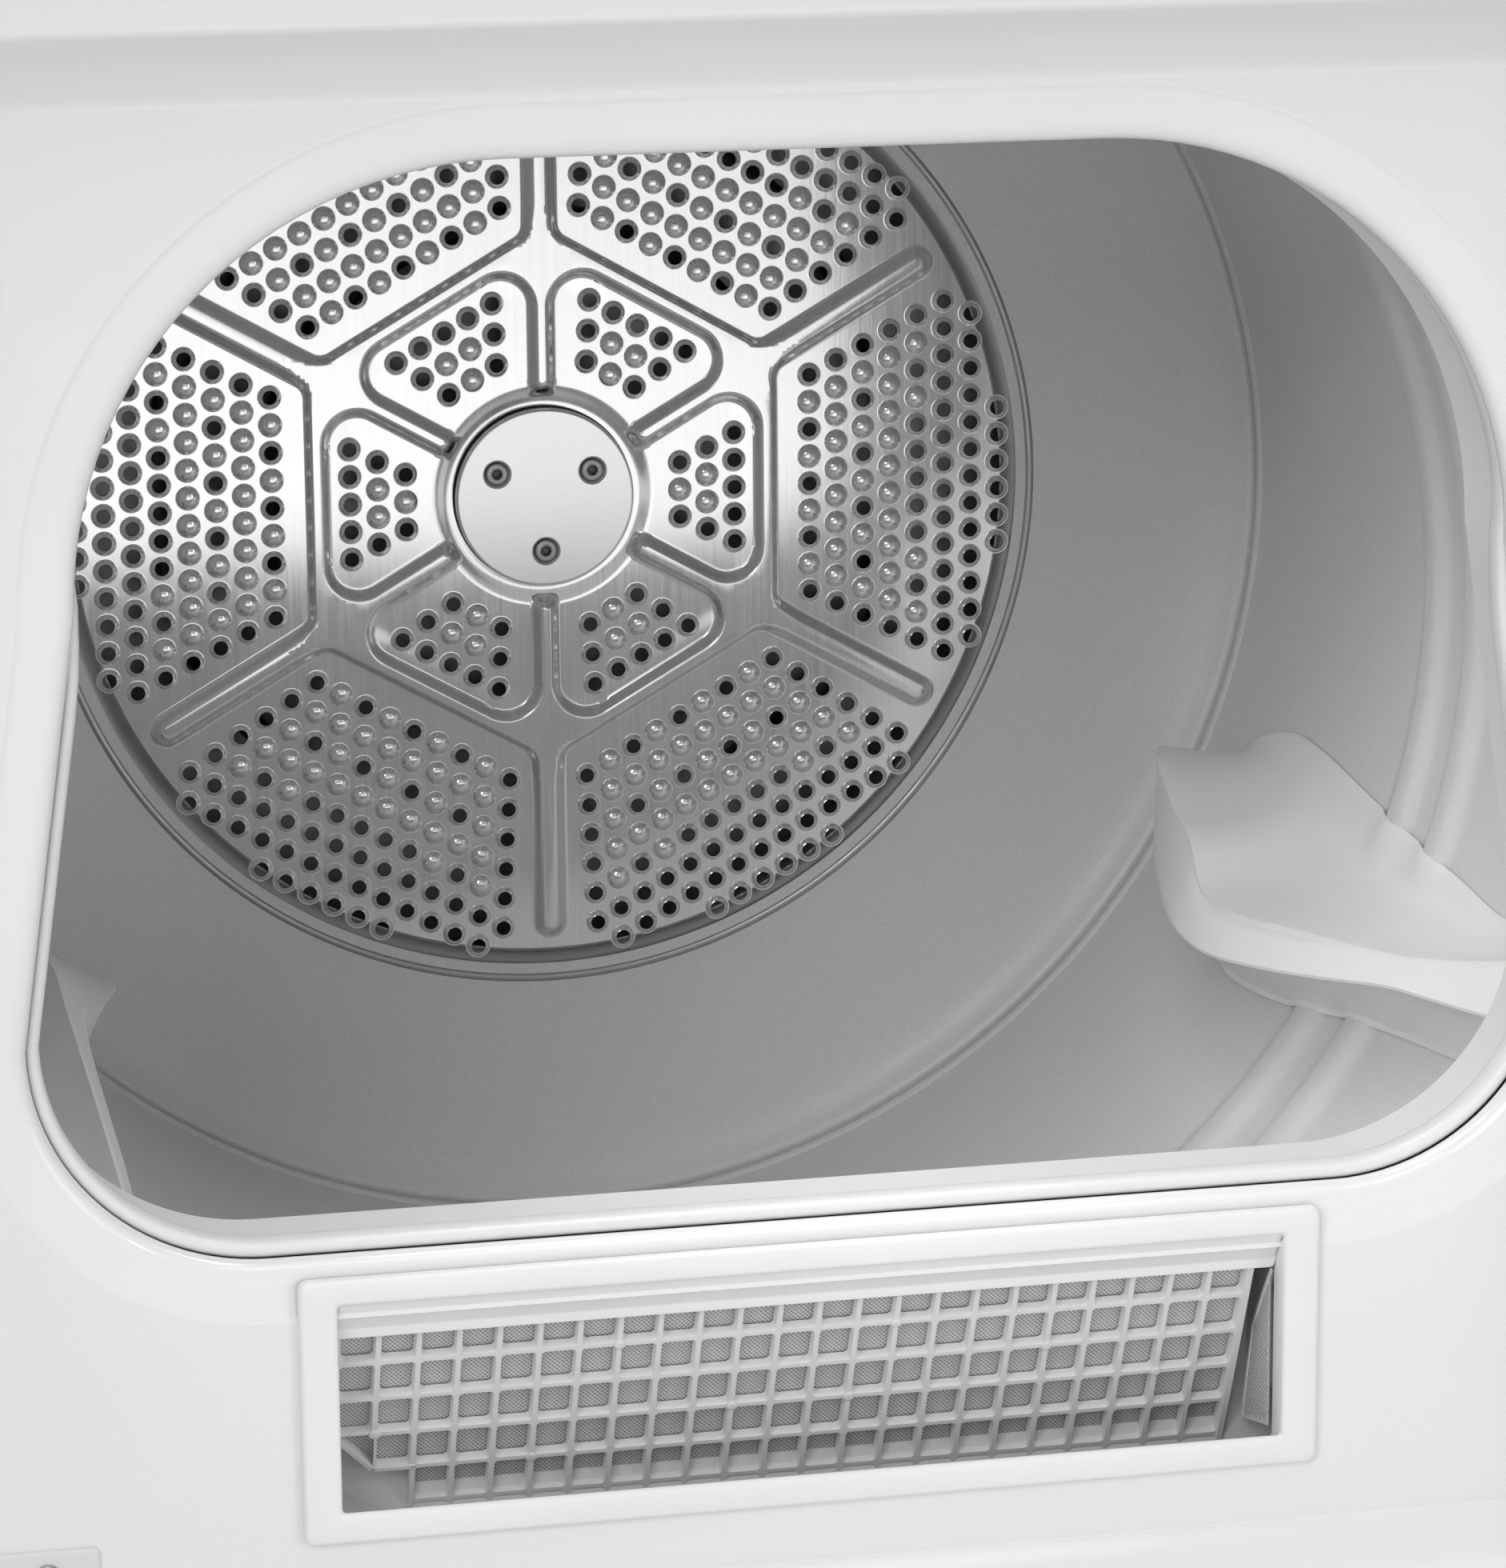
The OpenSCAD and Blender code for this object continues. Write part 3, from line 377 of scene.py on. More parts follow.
def arc(cx, cz, r, a0, a1, k):
    return [(cx + r * math.cos(math.radians(a0 + (a1 - a0) * i / k)), cz + r * math.sin(math.radians(a0 + (a1 - a0) * i / k))) for i in range(k + 1)]


def densify(pts, step):
    out = []
    for i, p in enumerate(pts):
        q = pts[(i + 1) % len(pts)]
        d = math.hypot(q[0] - p[0], q[1] - p[1])
        k = max(1, int(round(d / step)))
        for t in range(k):
            out.append((p[0] + (q[0] - p[0]) * t / k, p[1] + (q[1] - p[1]) * t / k))
    return out


OT, OB, OTZ, OBZ, RT, RB = 0.249, 0.271, 0.230, -0.147, 0.146, 0.080


def opening(g=0.0, k=26):
    """Outline of the loading opening grown by g, counter-clockwise seen from the front, same count for every g."""
    a = arc(OT - RT, OTZ - RT, RT + g, 0, 90, k)
    b = arc(-OT + RT, OTZ - RT, RT + g, 90, 180, k)
    c = arc(-OB + RB, OBZ + RB, RB + g, 180, 270, k)
    d = arc(OB - RB, OBZ + RB, RB + g, 270, 360, k)
    pts = []
    for s0, s1 in ((a, b), (b, c), (c, d), (d, a)):
        pts += s0
        p, q = s0[-1], s1[0]
        for t in range(1, 12):
            pts.append((p[0] + (q[0] - p[0]) * t / 12, p[1] + (q[1] - p[1]) * t / 12))
    return [(x, z + DZ) for x, z in pts]


def rrect(x0, x1, z0, z1, r, k=8):
    p = arc(x1 - r, z1 - r, r, 0, 90, k) + arc(x0 + r, z1 - r, r, 90, 180, k) + arc(x0 + r, z0 + r, r, 180, 270, k) + arc(x1 - r, z0 + r, r, 270, 360, k)
    return p


def ring3(pts, y):
    return [(x, y, z) for x, z in pts]


def smooth_path(pts, k=6):
    """Catmull-Rom through the points."""
    P = [np.array(p, float) for p in pts]
    P = [2 * P[0] - P[1]] + P + [2 * P[-1] - P[-2]]
    out = []
    for i in range(1, len(P) - 2):
        for t in np.linspace(0, 1, k, endpoint=False):
            a, b, c, d = P[i - 1], P[i], P[i + 1], P[i + 2]
            out.append(tuple(0.5 * ((2 * b) + (-a + c) * t + (2 * a - 5 * b + 4 * c - d) * t ** 2 + (-a + 3 * b - 3 * c + d) * t ** 3)))
    out.append(tuple(P[-2]))
    return out


# ------------------------------------------------------------------ front panel
def front_panel():
    s = Mesh()
    prof = [(20.6, 0.0), (20.2, 0.02), (19.6, 0.12), (19.0, 0.36), (18.2, 0.62), (17.0, 0.80), (9.0, 1.55), (6.0, 1.9), (4.2, 2.35), (2.8, 3.0), (1.7, 3.9), (0.9, 5.0), (0.35, 6.4), (0.05, 8.0), (0.0, 9.3), (0.25, 10.0), (1.0, 10.3), (2.2, 10.3)]
    s.loft([ring3(opening(g / 1000), RY + y / 1000) for g, y in prof], flip=False)
    sl = rrect(-0.1715, 0.1715, 0.3045, 0.3855, 0.004, 3)
    zt, zb = DZ + 0.276, DZ - 0.271
    outer = densify([(-0.310, zb), (0.310, zb), (0.310, zt - 0.0252), (-0.310, zt - 0.0252)], 0.05)
    covers = [rrect(x - 0.0021, x + 0.0021, z - 0.0021, z + 0.0021, 0.00205, 3) for x, z in ((-0.271, DZ - 0.252), (-0.289, DZ + 0.196))]
    catch = rrect(-0.300, -0.282, DZ + 0.008, DZ + 0.032, 0.001, 2)
    sw = [(0.288 + 0.006 * math.cos(t), DZ + 0.150 + 0.006 * math.sin(t)) for t in np.linspace(0, 2 * math.pi, 24, endpoint=False)]
    s.planar(outer, [opening(0.0206), sl, catch, sw], RY)
    s.loft([ring3(sl, RY), ring3(sl, RY + 0.0012)])
    s.loft([ring3(catch, RY), ring3(catch, RY + 0.0012)])
    s.loft([ring3(sw, RY), ring3(sw, RY + 0.0012)])
    # head: plain face, thin edge line, hollow cove down to the recess plane
    top = [(FY, SIDE_TOP), (FY, 0.86), (FY, zt + 0.0042), (FY + 0.0001, zt + 0.0030), (FY + 0.0006, zt + 0.0014), (FY + 0.0016, zt + 0.0004)]
    cove = smooth_path([(FY + 0.0016, zt + 0.0004), (FY + 0.0052, zt - 0.0030), (FY + 0.0118, zt - 0.0095), (RY - 0.0040, zt - 0.0172), (RY - 0.0008, zt - 0.0222), (RY, zt - 0.0252)], 5)
    sec = top[:-1] + cove
    xs = list(np.linspace(-0.3105, 0.3105, 14))
    s.loft([[(x, y, z) for y, z in sec] for x in xs], closed=False, flip=False)
    low = smooth_path([(RY, zb), (RY - 0.0008, zb - 0.0014), (RY - 0.0050, zb - 0.0052), (FY + 0.0070, zb - 0.0115), (FY + 0.0042, zb - 0.0150), (FY + 0.0030, zb - 0.0200)], 5) + [(FY + 0.003, 0.12), (FY + 0.003, 0.018), (FY + 0.0042, 0.018)]
    s.loft([[(x, y, z) for y, z in low] for x in xs], closed=False, flip=False)
    # stiles with rounded edges and the closing walls of the recess
    for sg in (-1, 1):
        st = [(0.343, FY + 0.0119), (0.343, FY + 0.004), (0.3425, FY + 0.0018), (0.3412, FY + 0.0005), (0.339, FY), (0.3150, FY), (0.3134, FY + 0.0004), (0.3124, FY + 0.0013), (0.312, FY + 0.0028), (0.312, RY - 0.0028), (0.3117, RY - 0.0012), (0.3110, RY - 0.0003), (0.3098, RY)]
        zs = [0.018, 0.1, 0.2, zb - 0.02, zb, 0.4, 0.6, zt - 0.0252, zt, 0.86, SIDE_TOP]
        s.loft([[(sg * x, y, z) for x, y in st] for z in zs], closed=False, flip=(sg < 0))
    ob = make("front_panel_enamel", s.v, s.f, M["enamel"], "cabinet", ("front_panel",), angle=40)
    return ob


# ------------------------------------------------------------------ bulkhead ring behind the panel
def bulkhead():
    s = Mesh()
    P = [(1.0, 54.0), (1.0, 22.0), (0.9, 13.6), (0.5, 12.0), (-0.1, 11.1), (-0.9, 10.6), (-1.9, 10.4), (-2.9, 10.6), (-3.7, 11.1), (-4.3, 12.0), (-4.7, 13.2), (-5.0, 15.2), (-5.1, 17.6), (-4.9, 19.8), (-4.2, 21.8), (-2.8, 24.2), (-0.8, 27.6), (1.8, 32.0), (4.6, 37.5), (7.4, 44.0), (10.0, 50.2)]

    def ring(g, y):
        out = []
        for (x, z), (xn, zn) in zip(opening(g / 1000), opening(g / 1000 + 0.001)):
            up = (z - DZ - 0.050) / 0.060
            up = 0.0 if up < 0 else (1.0 if up > 1 else up * up * (3 - 2 * up))
            k = 5.6 * up if y < 30 else 5.6 * up * max(0.0, (50 - y) / 20)
            out.append((x + (xn - x) * k, RY + y / 1000 + 0.0013 * up * (y < 45), z + (zn - z) * k))
        return out
    s.loft([ring(g, y) for g, y in P])
    circ = [(0.311 * math.cos(t), DZ + 0.311 * math.sin(t)) for t in np.linspace(0, 2 * math.pi, 180, endpoint=False)]
    s.planar(circ, [opening(0.010)], RY + 0.0546, flip=True)
    s.planar(circ, [opening(0.010)], RY + 0.0502)
    s.loft([ring3(opening(0.010), RY + 0.0502), ring3(opening(0.010), RY + 0.0546)])
    prof = [(0.311, 0.050), (0.311, 0.0545), (0.311, 0.073), (0.3105, 0.0738), (0.3095, 0.074), (0.308, 0.0738), (0.3073, 0.073), (0.307, 0.0546)]
    T = np.linspace(0, 2 * math.pi, 180, endpoint=False)
    s.loft([[(r * math.cos(t), RY + y, DZ + r * math.sin(t)) for t in T] for r, y in prof], flip=True)
    for sx in (-1, 1):
        for sz in (-1, 1):
            r = rrect(sx * 0.215 - 0.008, sx * 0.215 + 0.008, DZ + sz * 0.215 - 0.008, DZ + sz * 0.215 + 0.008, 0.003, 4)
            s.loft([ring3(r, RY + 0.050), ring3(r, RY + 0.0013)])
            s.cap(ring3(r, RY + 0.0013))
    make("opening_ring", s.v, s.f, M["ring"], "cabinet", ("front_bulkhead",), angle=40)


# ------------------------------------------------------------------ drum
def revolve(name, prof, mat, body, reps, seg=288, angle=40, flip=False):
    s = Mesh()
    T = np.linspace(0, 2 * math.pi, seg, endpoint=False)
    s.loft([[(r * math.cos(t), y, DZ + r * math.sin(t)) for t in T] for r, y in prof], flip=flip)
    return make(name, s.v, s.f, mat, body, reps, angle=angle)


def drum():
    H = 0.0042

    def bead(y0, w=0.038, k=16):
        out = []
        for i in range(k + 1):
            u = i / k
            e = min(1, min(u, 1 - u) / 0.42)
            h = H * (0.5 - 0.5 * math.cos(math.pi * e))
            out.append((DR - h, y0 + w * u))
        return out
    b0, b1 = RY + 0.229, RY + 0.278
    inner = [(0.3130, DY0 + 0.0006), (0.3135, DY0), (0.3150, DY0 - 0.0002), (0.3225, DY0 + 0.0004), (0.3243, DY0 + 0.0018), (DR, DY0 + 0.005)]
    for y in np.linspace(DY0 + 0.03, b0 - 0.004, 8):
        inner.append((DR, y))
    inner += bead(b0) + [(DR, b0 + 0.0435)] + bead(b1) + [(DR, b1 + 0.041)]
    for y in np.linspace(b1 + 0.07, DY1 - 0.016, 8):
        inner.append((DR, y))
    # rolled seam at the back: small shelf, shadow line, then the back
    inner += [(DR, DY1 - 0.0075), (DR - 0.0002, DY1 - 0.0066), (DR - 0.0013, DY1 - 0.0058), (DR - 0.0018, DY1 - 0.0045), (DR - 0.0018, DY1 - 0.0022), (DR - 0.0012, DY1 - 0.0012), (DR + 0.0006, DY1 - 0.0006)]
    outer = [(DR + 0.0009, DY1), (DR + 0.0009, DY1 - 0.02), (DR + 0.0009, b1 + 0.04)] + [(r + 0.0009, y) for r, y in reversed(bead(b1))] + [(r + 0.0009, y) for r, y in reversed(bead(b0))] + [(DR + 0.0009, DY0 + 0.004), (DR, DY0 + 0.0005), (0.3225, DY0 - 0.0004), (0.3150, DY0 - 0.0010), (0.3132, DY0 - 0.0006), (0.3130, DY0 + 0.0006)]
    revolve("drum_wall", inner + outer, M["drum"], "drum", ("drum_shell",), flip=True)
    back = [(DR + 0.0009, DY1 + 0.0012), (DR - 0.0006, DY1 + 0.0014), (DR - 0.0026, DY1 + 0.0008), (DR - 0.0040, DY1 + 0.0012), (DR - 0.0060, DY1 + 0.0034), (DR - 0.0095, DY1 + 0.0068), (DR - 0.0140, DY1 + 0.0094), (DR - 0.0200, DY1 + 0.0116), (0.295, DY1 + 0.0148), (0.270, DY1 + 0.0212), (0.250, DY1 + 0.0262), (0.240, DY1 + 0.0288), (0.234, DY1 + 0.0300), (0.231, DY1 + 0.0306), (0.219, DY1 + 0.0322)]
    bk = back + [(0.219, DY1 + 0.0330), (0.240, DY1 + 0.0297), (0.270, DY1 + 0.0221), (0.295, DY1 + 0.0157), (DR - 0.012, DY1 + 0.0095), (DR - 0.002, DY1 + 0.0030), (DR + 0.0009, DY1 + 0.0022)]
    revolve("drum_back_dish", bk, M["drum"], "drum", ("drum_back",), flip=True)


# back plate: domes, pierced domes and raised ribs as real relief
PITCH, U0, UP = 0.0125, 0.1221, 0.0873
COLN = [9, 10, 11, 12, 13, 14, 13, 6]


def open_col(k, j):
    e = min(j, COLN[k] - 1 - j)
    if k in (0, 2):
        return j % 2 == 0
    if k in (1, 3):
        return e == 0
    if k == 4:
        return e not in (1, 3)
    return True


def plate_points():
    out = []
    for p in range(6):
        a = math.radians(60 * p)
        c, sn = math.cos(a), math.sin(a)
        for k in range(8):
            for j in range(COLN[k]):
                u, v = U0 + k * PITCH, (j - (COLN[k] - 1) / 2) * PITCH
                out.append((u * c - v * sn, u * sn + v * c, open_col(k, j)))
        for k in range(3):
            for j in range(5 - k):
                u, v = UP - k * PITCH, (j - (4 - k) / 2) * PITCH
                out.append((u * c - v * sn, u * sn + v * c, k == 0 or j in (0, 4 - k)))
    return out


R_HOLE, R_DOME, H_DOME, H_RIB = 0.0033, 0.0054, 0.0023, 0.0036
PAD_AP, PAD_R, PAN_AP, PAN_R = 0.0955, 0.0115, 0.1075, 0.0065
PAD_W, PAN_W, SP_END = 0.0068, 0.0086, 0.1985
RIM = 0.2113


def sstep(x):
    x = np.clip(x, 0, 1)
    return x * x * (3 - 2 * x)


def ray_dist(U, V, px, pv, dx, dv):
    t = np.maximum(0, (U - px) * dx + (V - pv) * dv)
    return np.hypot(U - px - t * dx, V - pv - t * dv)


C30, S30 = math.cos(math.radians(30)), 0.5


def fold(X, Z):
    r = np.hypot(X, Z)
    a = np.arctan2(Z, X)
    a = np.abs((a + math.pi / 6) % (math.pi / 3) - math.pi / 6)
    return r * np.cos(a), r * np.sin(a), r


def rib_height(X, Z):
    """Raised star: distance from the flat panels and pads, each with rounded corners, drives the flanks."""
    U, V, R = fold(X, Z)
    S = U * S30 - V * C30                       # distance from the nearest spoke line
    T = U * C30 + V * S30                       # distance along it
    # outer panels
    a, w_, rho = PAN_AP + PAN_R, PAN_W + PAN_R, PAN_R
    vv = (a * S30 - w_) / C30
    ins = (U >= a) & (S >= w_)
    d = np.minimum(ray_dist(U, V, a, vv, 0, -1), ray_dist(U, V, a, vv, C30, S30))
    d = np.maximum(0, np.where(ins, 0, d) - rho)
    se = np.where(T > SP_END, np.hypot(S, T - SP_END), S)
    d_pan = np.where(T > 0.150, np.maximum(0, PAN_W - se), d)
    # inner pads
    b, w2, rho = PAD_AP - PAD_R, PAD_W + PAD_R, PAD_R
    vb = (b * S30 - w2) / C30
    ins = (U <= b) & (S >= w2)
    d2 = np.minimum(ray_dist(U, V, b, vb, 0, -1), ray_dist(U, V, b, vb, -C30, -S30))
    d_pad = np.maximum(0, np.where(ins, 0, d2) - rho)
    d_pad = np.where(R > 0.125, 1.0, d_pad)
    wf = 0.0038 + 0.0029 * sstep((T - 0.112) / 0.022)
    f1 = sstep(d_pan / wf)
    f2 = sstep(d_pad / 0.0056)
    hub_fade = sstep((R - 0.0455) / 0.0065)
    h = H_RIB * f1 * f2 * hub_fade
    # sheet eases up towards the flanks and sinks a little round the hub disc
    soft = 0.00030 * sstep(1 - ray_dist(U, V, PAD_AP, 0, 0, 1) / 0.010) * (R < 0.1)
    groove = -0.0016 * sstep((0.0508 - R) / 0.0085)
    return h + soft * (1 - f2) + groove


def plate_height(X, Z, cx, cz, near):
    h = rib_height(X, Z)
    r = np.hypot(X, Z)
    # raised dome round each hole and dimple centre, eased at its foot
    d = np.full(len(X), 1.0)
    k = near >= 0
    d[k] = np.hypot(X[k] - cx[near[k]], Z[k] - cz[near[k]])
    t = np.clip(d / R_DOME, 0, 1)
    dome = H_DOME * (1 - t ** 2.3)
    edge = sstep((1 - t) / 0.12)
    return h + dome * np.where(t < 1, 0.20 + 0.80 * edge, 0)


def plate():
    pts = plate_points()
    cx = np.array([p[0] for p in pts])
    cz = np.array([p[1] for p in pts])
    SEG = 24
    ang = np.linspace(0, 2 * math.pi, SEG, endpoint=False)
    RO = R_DOME + 0.0004
    NB = 360
    P, edges = [], []

    def ring(r, k, closed=True):
        o = len(P)
        P.extend([(r * math.cos(t), r * math.sin(t)) for t in np.linspace(0, 2 * math.pi, k, endpoint=False)])
        edges.extend([(o + i, o + (i + 1) % k) for i in range(k)])

    def line(pts_):
        o = len(P)
        P.extend(pts_)
        edges.extend([(o + i, o + i + 1) for i in range(len(pts_) - 1)])
    ring(RIM, NB)
    ring(0.0410, 120)
    for r in (0.0423, 0.0436, 0.0449, 0.0461, 0.0473, 0.0485, 0.0497, 0.0509, 0.0522):
        ring(r, 132)
    # profile lines that follow the flanks, so that the relief stays crisp
    for p in range(6):
        a0 = math.radians(60 * p)
        c, sn = math.cos(a0), math.sin(a0)

        def tr(u, v):
            return (u * c - v * sn, u * sn + v * c)
        for off, base_r in ((0.0, 0), (0.0005, 0), (0.0011, 0), (0.0017, 0), (0.0023, 0), (0.0028, 0), (0.0033, 0), (0.0038, 0), (-0.0008, 0)):
            # panel side: hexagon edge with its two rounded corners
            ap = PAN_AP - off
            rho = PAN_R + off
            a, w_ = PAN_AP + PAN_R, PAN_W + PAN_R
            vv = (a * S30 - w_) / C30
            pth = [(a + rho * math.cos(math.radians(t)), vv + rho * math.sin(math.radians(t))) for t in np.linspace(120, 180, 7)]
            side = [(pth[0][0] + t * C30, pth[0][1] + t * S30) for t in (0.010, 0.006, 0.003)]
            half = side + pth
            low = [(u, -v) for u, v in reversed(half)]
            mid = [(ap, v) for v in np.linspace(half[-1][1], -half[-1][1], 20)[1:-1]]
            line([tr(u, v) for u, v in half + mid + low])
        for off in (-0.0010, 0.0, 0.0008, 0.0016, 0.0024, 0.0032, 0.0040, 0.0048, 0.0056):
            rho = PAD_R + off
            b, w2 = PAD_AP - PAD_R, PAD_W + PAD_R
            vb = (b * S30 - w2) / C30
            pth = [(b + rho * math.cos(math.radians(t)), vb + rho * math.sin(math.radians(t))) for t in np.linspace(120, 0, 15)]
            ln = vb / math.sin(math.radians(30))
            side = []
            e = pth[0]
            for t in np.linspace(0.036, 0.0, 13)[:-1]:
                q = (e[0] - t * C30, e[1] - t * S30)
                if math.hypot(*q) > 0.0524:
                    side.append(q)
            half = side + pth
            low = [(u, -v) for u, v in reversed(half)]
            mid = [(b + rho, v) for v in np.linspace(vb, -vb, 12)[1:-1]]
            line([tr(u, v) for u, v in half + mid + low])
        # spokes between the outer panels
        ca, sa = math.cos(math.radians(60 * p + 30)), math.sin(math.radians(60 * p + 30))
        for off in (0.0, 0.0007, 0.0014, 0.0022, 0.0030, 0.0038, 0.0047, 0.0056, 0.0065, -0.0008):
            w_ = PAN_W - off
            up = [(t, w_) for t in np.linspace(0.132, SP_END, 22)]
            tip = [(SP_END + w_ * math.sin(q), w_ * math.cos(q)) for q in np.linspace(0, math.pi, 15)[1:-1]]
            dn = [(t, -w_) for t in np.linspace(SP_END, 0.132, 22)]
            line([(t * ca - v * sa, t * sa + v * ca) for t, v in up + tip + dn])
    for x, z in zip(cx, cz):
        o = len(P)
        P += [(x + RO * math.cos(t), z + RO * math.sin(t)) for t in ang]
        edges += [(o + i, o + (i + 1) % SEG) for i in range(SEG)]
    g = np.arange(-0.2100, 0.2101, 0.0017)
    GX, GZ = np.meshgrid(g, g)
    GX = GX + 0.0004 * np.sin(GZ * 3100)
    GX, GZ = GX.ravel(), GZ.ravel()
    R = np.hypot(GX, GZ)
    near_h = np.full(len(GX), 1e9)
    for x, z in zip(cx, cz):
        near_h = np.minimum(near_h, np.hypot(GX - x, GZ - z))
    U, V, R2 = fold(GX, GZ)
    S = U * S30 - V * C30
    flank = (np.abs(S) < PAN_W + 0.001) & (R > 0.130) | (np.abs(U - 0.1015) < 0.0085) | (np.abs(S) < 0.0075) & (R < 0.1)
    junction = (R > 0.098) & (R < 0.134) & (S < 0.014)
    keep = (R < RIM - 0.0008) & (R > 0.0530) & (near_h > RO + 0.0008)
    keep &= (~flank) | (junction & (np.abs(rib_height(GX, GZ) - H_RIB) < 0.0012))
    keep &= junction | ((np.arange(len(GX)) % 3) == 0)
    P += list(zip(GX[keep], GZ[keep]))
    Vv, E, F, _, _, _ = delaunay_2d_cdt([Vector(p) for p in P], edges, [], 1, 1e-6)
    Vv = np.array([(p.x, p.y) for p in Vv])
    F = np.array([f for f in F if len(f) == 3])
    C = Vv[F].mean(1)
    rc = np.hypot(C[:, 0], C[:, 1])
    ok = (rc > 0.04101) & (rc < RIM)
    near_d = np.full(len(C), 1e9)
    for x, z in zip(cx, cz):
        near_d = np.minimum(near_d, np.hypot(C[:, 0] - x, C[:, 1] - z))
    ok &= near_d > RO * 0.985
    F = F[ok]
    verts = [tuple(p) for p in Vv]
    near = [-1] * len(verts)
    faces = []
    for f in F:
        a, b, c = Vv[f[0]], Vv[f[1]], Vv[f[2]]
        ar = (b[0] - a[0]) * (c[1] - a[1]) - (c[0] - a[0]) * (b[1] - a[1])
        faces.append(tuple(int(i) for i in (f if ar > 0 else f[::-1])))
    hole_rings = []
    rad_open = [RO, R_DOME, R_DOME * 0.965, R_DOME * 0.92, R_DOME * 0.85, R_DOME * 0.76, R_DOME * 0.68, R_HOLE + 0.0001, R_HOLE]
    rad_shut = [RO, R_DOME, R_DOME * 0.965, R_DOME * 0.92, R_DOME * 0.85, R_DOME * 0.72, R_DOME * 0.56, R_DOME * 0.40, R_DOME * 0.24, R_DOME * 0.10]
    for i, (x, z, op) in enumerate(pts):
        prev = None
        for r in (rad_open if op else rad_shut):
            o = len(verts)
            verts += [(x + r * math.cos(t), z + r * math.sin(t)) for t in ang]
            near += [i] * SEG
            cur = [o + q for q in range(SEG)]
            if prev:
                for q in range(SEG):
                    faces.append((prev[q], prev[(q + 1) % SEG], cur[(q + 1) % SEG], cur[q]))
            prev = cur
        if op:
            hole_rings.append(prev)
        else:
            o = len(verts)
            verts.append((x, z))
            near.append(i)
            for q in range(SEG):
                faces.append((prev[q], prev[(q + 1) % SEG], o))
    A = np.array(verts)
    near = np.array(near)
    e = 0.00015
    H = plate_height(A[:, 0], A[:, 1], cx, cz, near)
    HX = plate_height(A[:, 0] + e, A[:, 1], cx, cz, near) - plate_height(A[:, 0] - e, A[:, 1], cx, cz, near)
    HZ = plate_height(A[:, 0], A[:, 1] + e, cx, cz, near) - plate_height(A[:, 0], A[:, 1] - e, cx, cz, near)
    base = PY - 0.0006
    V3 = [(A[i, 0], base - H[i], DZ + A[i, 1]) for i in range(len(A))]
    N3 = [Vector((-HX[i] / (2 * e), -1.0, -HZ[i] / (2 * e))).normalized() for i in range(len(A))]
    # short turned-in wall of every open hole
    for rg in hole_rings:
        o = len(V3)
        ci = near[rg[0]]
        for q in rg:
            x, y, z = V3[q]
            V3.append((x, y, z))
            N3.append(Vector((cx[ci] - x, -0.35 * R_HOLE, DZ + cz[ci] - z)).normalized())
        for q in rg:
            x, y, z = V3[q]
            V3.append((cx[ci] + (x - cx[ci]) * 0.985, y + 0.0016, DZ + cz[ci] + (z - DZ - cz[ci]) * 0.985))
            N3.append(Vector((cx[ci] - x, 0, DZ + cz[ci] - z)).normalized())
        for q in range(SEG):
            a, b = o + q, o + (q + 1) % SEG
            faces.append((a, b, b + SEG, a + SEG))
    make_normals("perforated_back_plate", V3, faces, N3, M["stainless"], "drum", ("perforated_plate",))
    # rolled rim of the plate: hollow band, edge bead, then the turned-in edge
    prof = [(RIM, 0.0), (RIM + 0.0006, 0.0001), (RIM + 0.0012, 0.0005), (RIM + 0.0020, 0.0012), (RIM + 0.0034, 0.0021), (RIM + 0.0052, 0.0027), (RIM + 0.0072, 0.0029), (RIM + 0.0092, 0.0026), (RIM + 0.0108, 0.0018), (RIM + 0.0118, 0.0008), (RIM + 0.0126, -0.0002), (RIM + 0.0136, -0.0008), (RIM + 0.0147, -0.0009), (RIM + 0.0157, -0.0005), (RIM + 0.0163, 0.0003), (RIM + 0.0166, 0.0014), (RIM + 0.0165, 0.0026)]
    T = np.linspace(0, 2 * math.pi, NB, endpoint=False)
    q = Mesh()
    q.loft([[(r * math.cos(t), base + y, DZ + r * math.sin(t)) for t in T] for r, y in prof], flip=True)
    # the rolled rim takes the darker steel copy as painted shade; the sheet is the same stainless as the plate
    make("back_plate_rolled_rim", q.v, q.f, M["rim"], "drum", (), angle=60)


def make_normals(name, V3, faces, N3, mat, body, reps):
    me = bpy.data.meshes.new(name)
    me.from_pydata(V3, [], faces)
    me.materials.append(mat)
    for f in me.polygons:
        f.use_smooth = True
    me.normals_split_custom_set_from_vertices([tuple(v) for v in N3])
    ob = bpy.data.objects.new(name, me)
    bpy.context.scene.collection.objects.link(ob)
    if reps:
        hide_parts(*reps)
    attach(ob, body)
    return ob


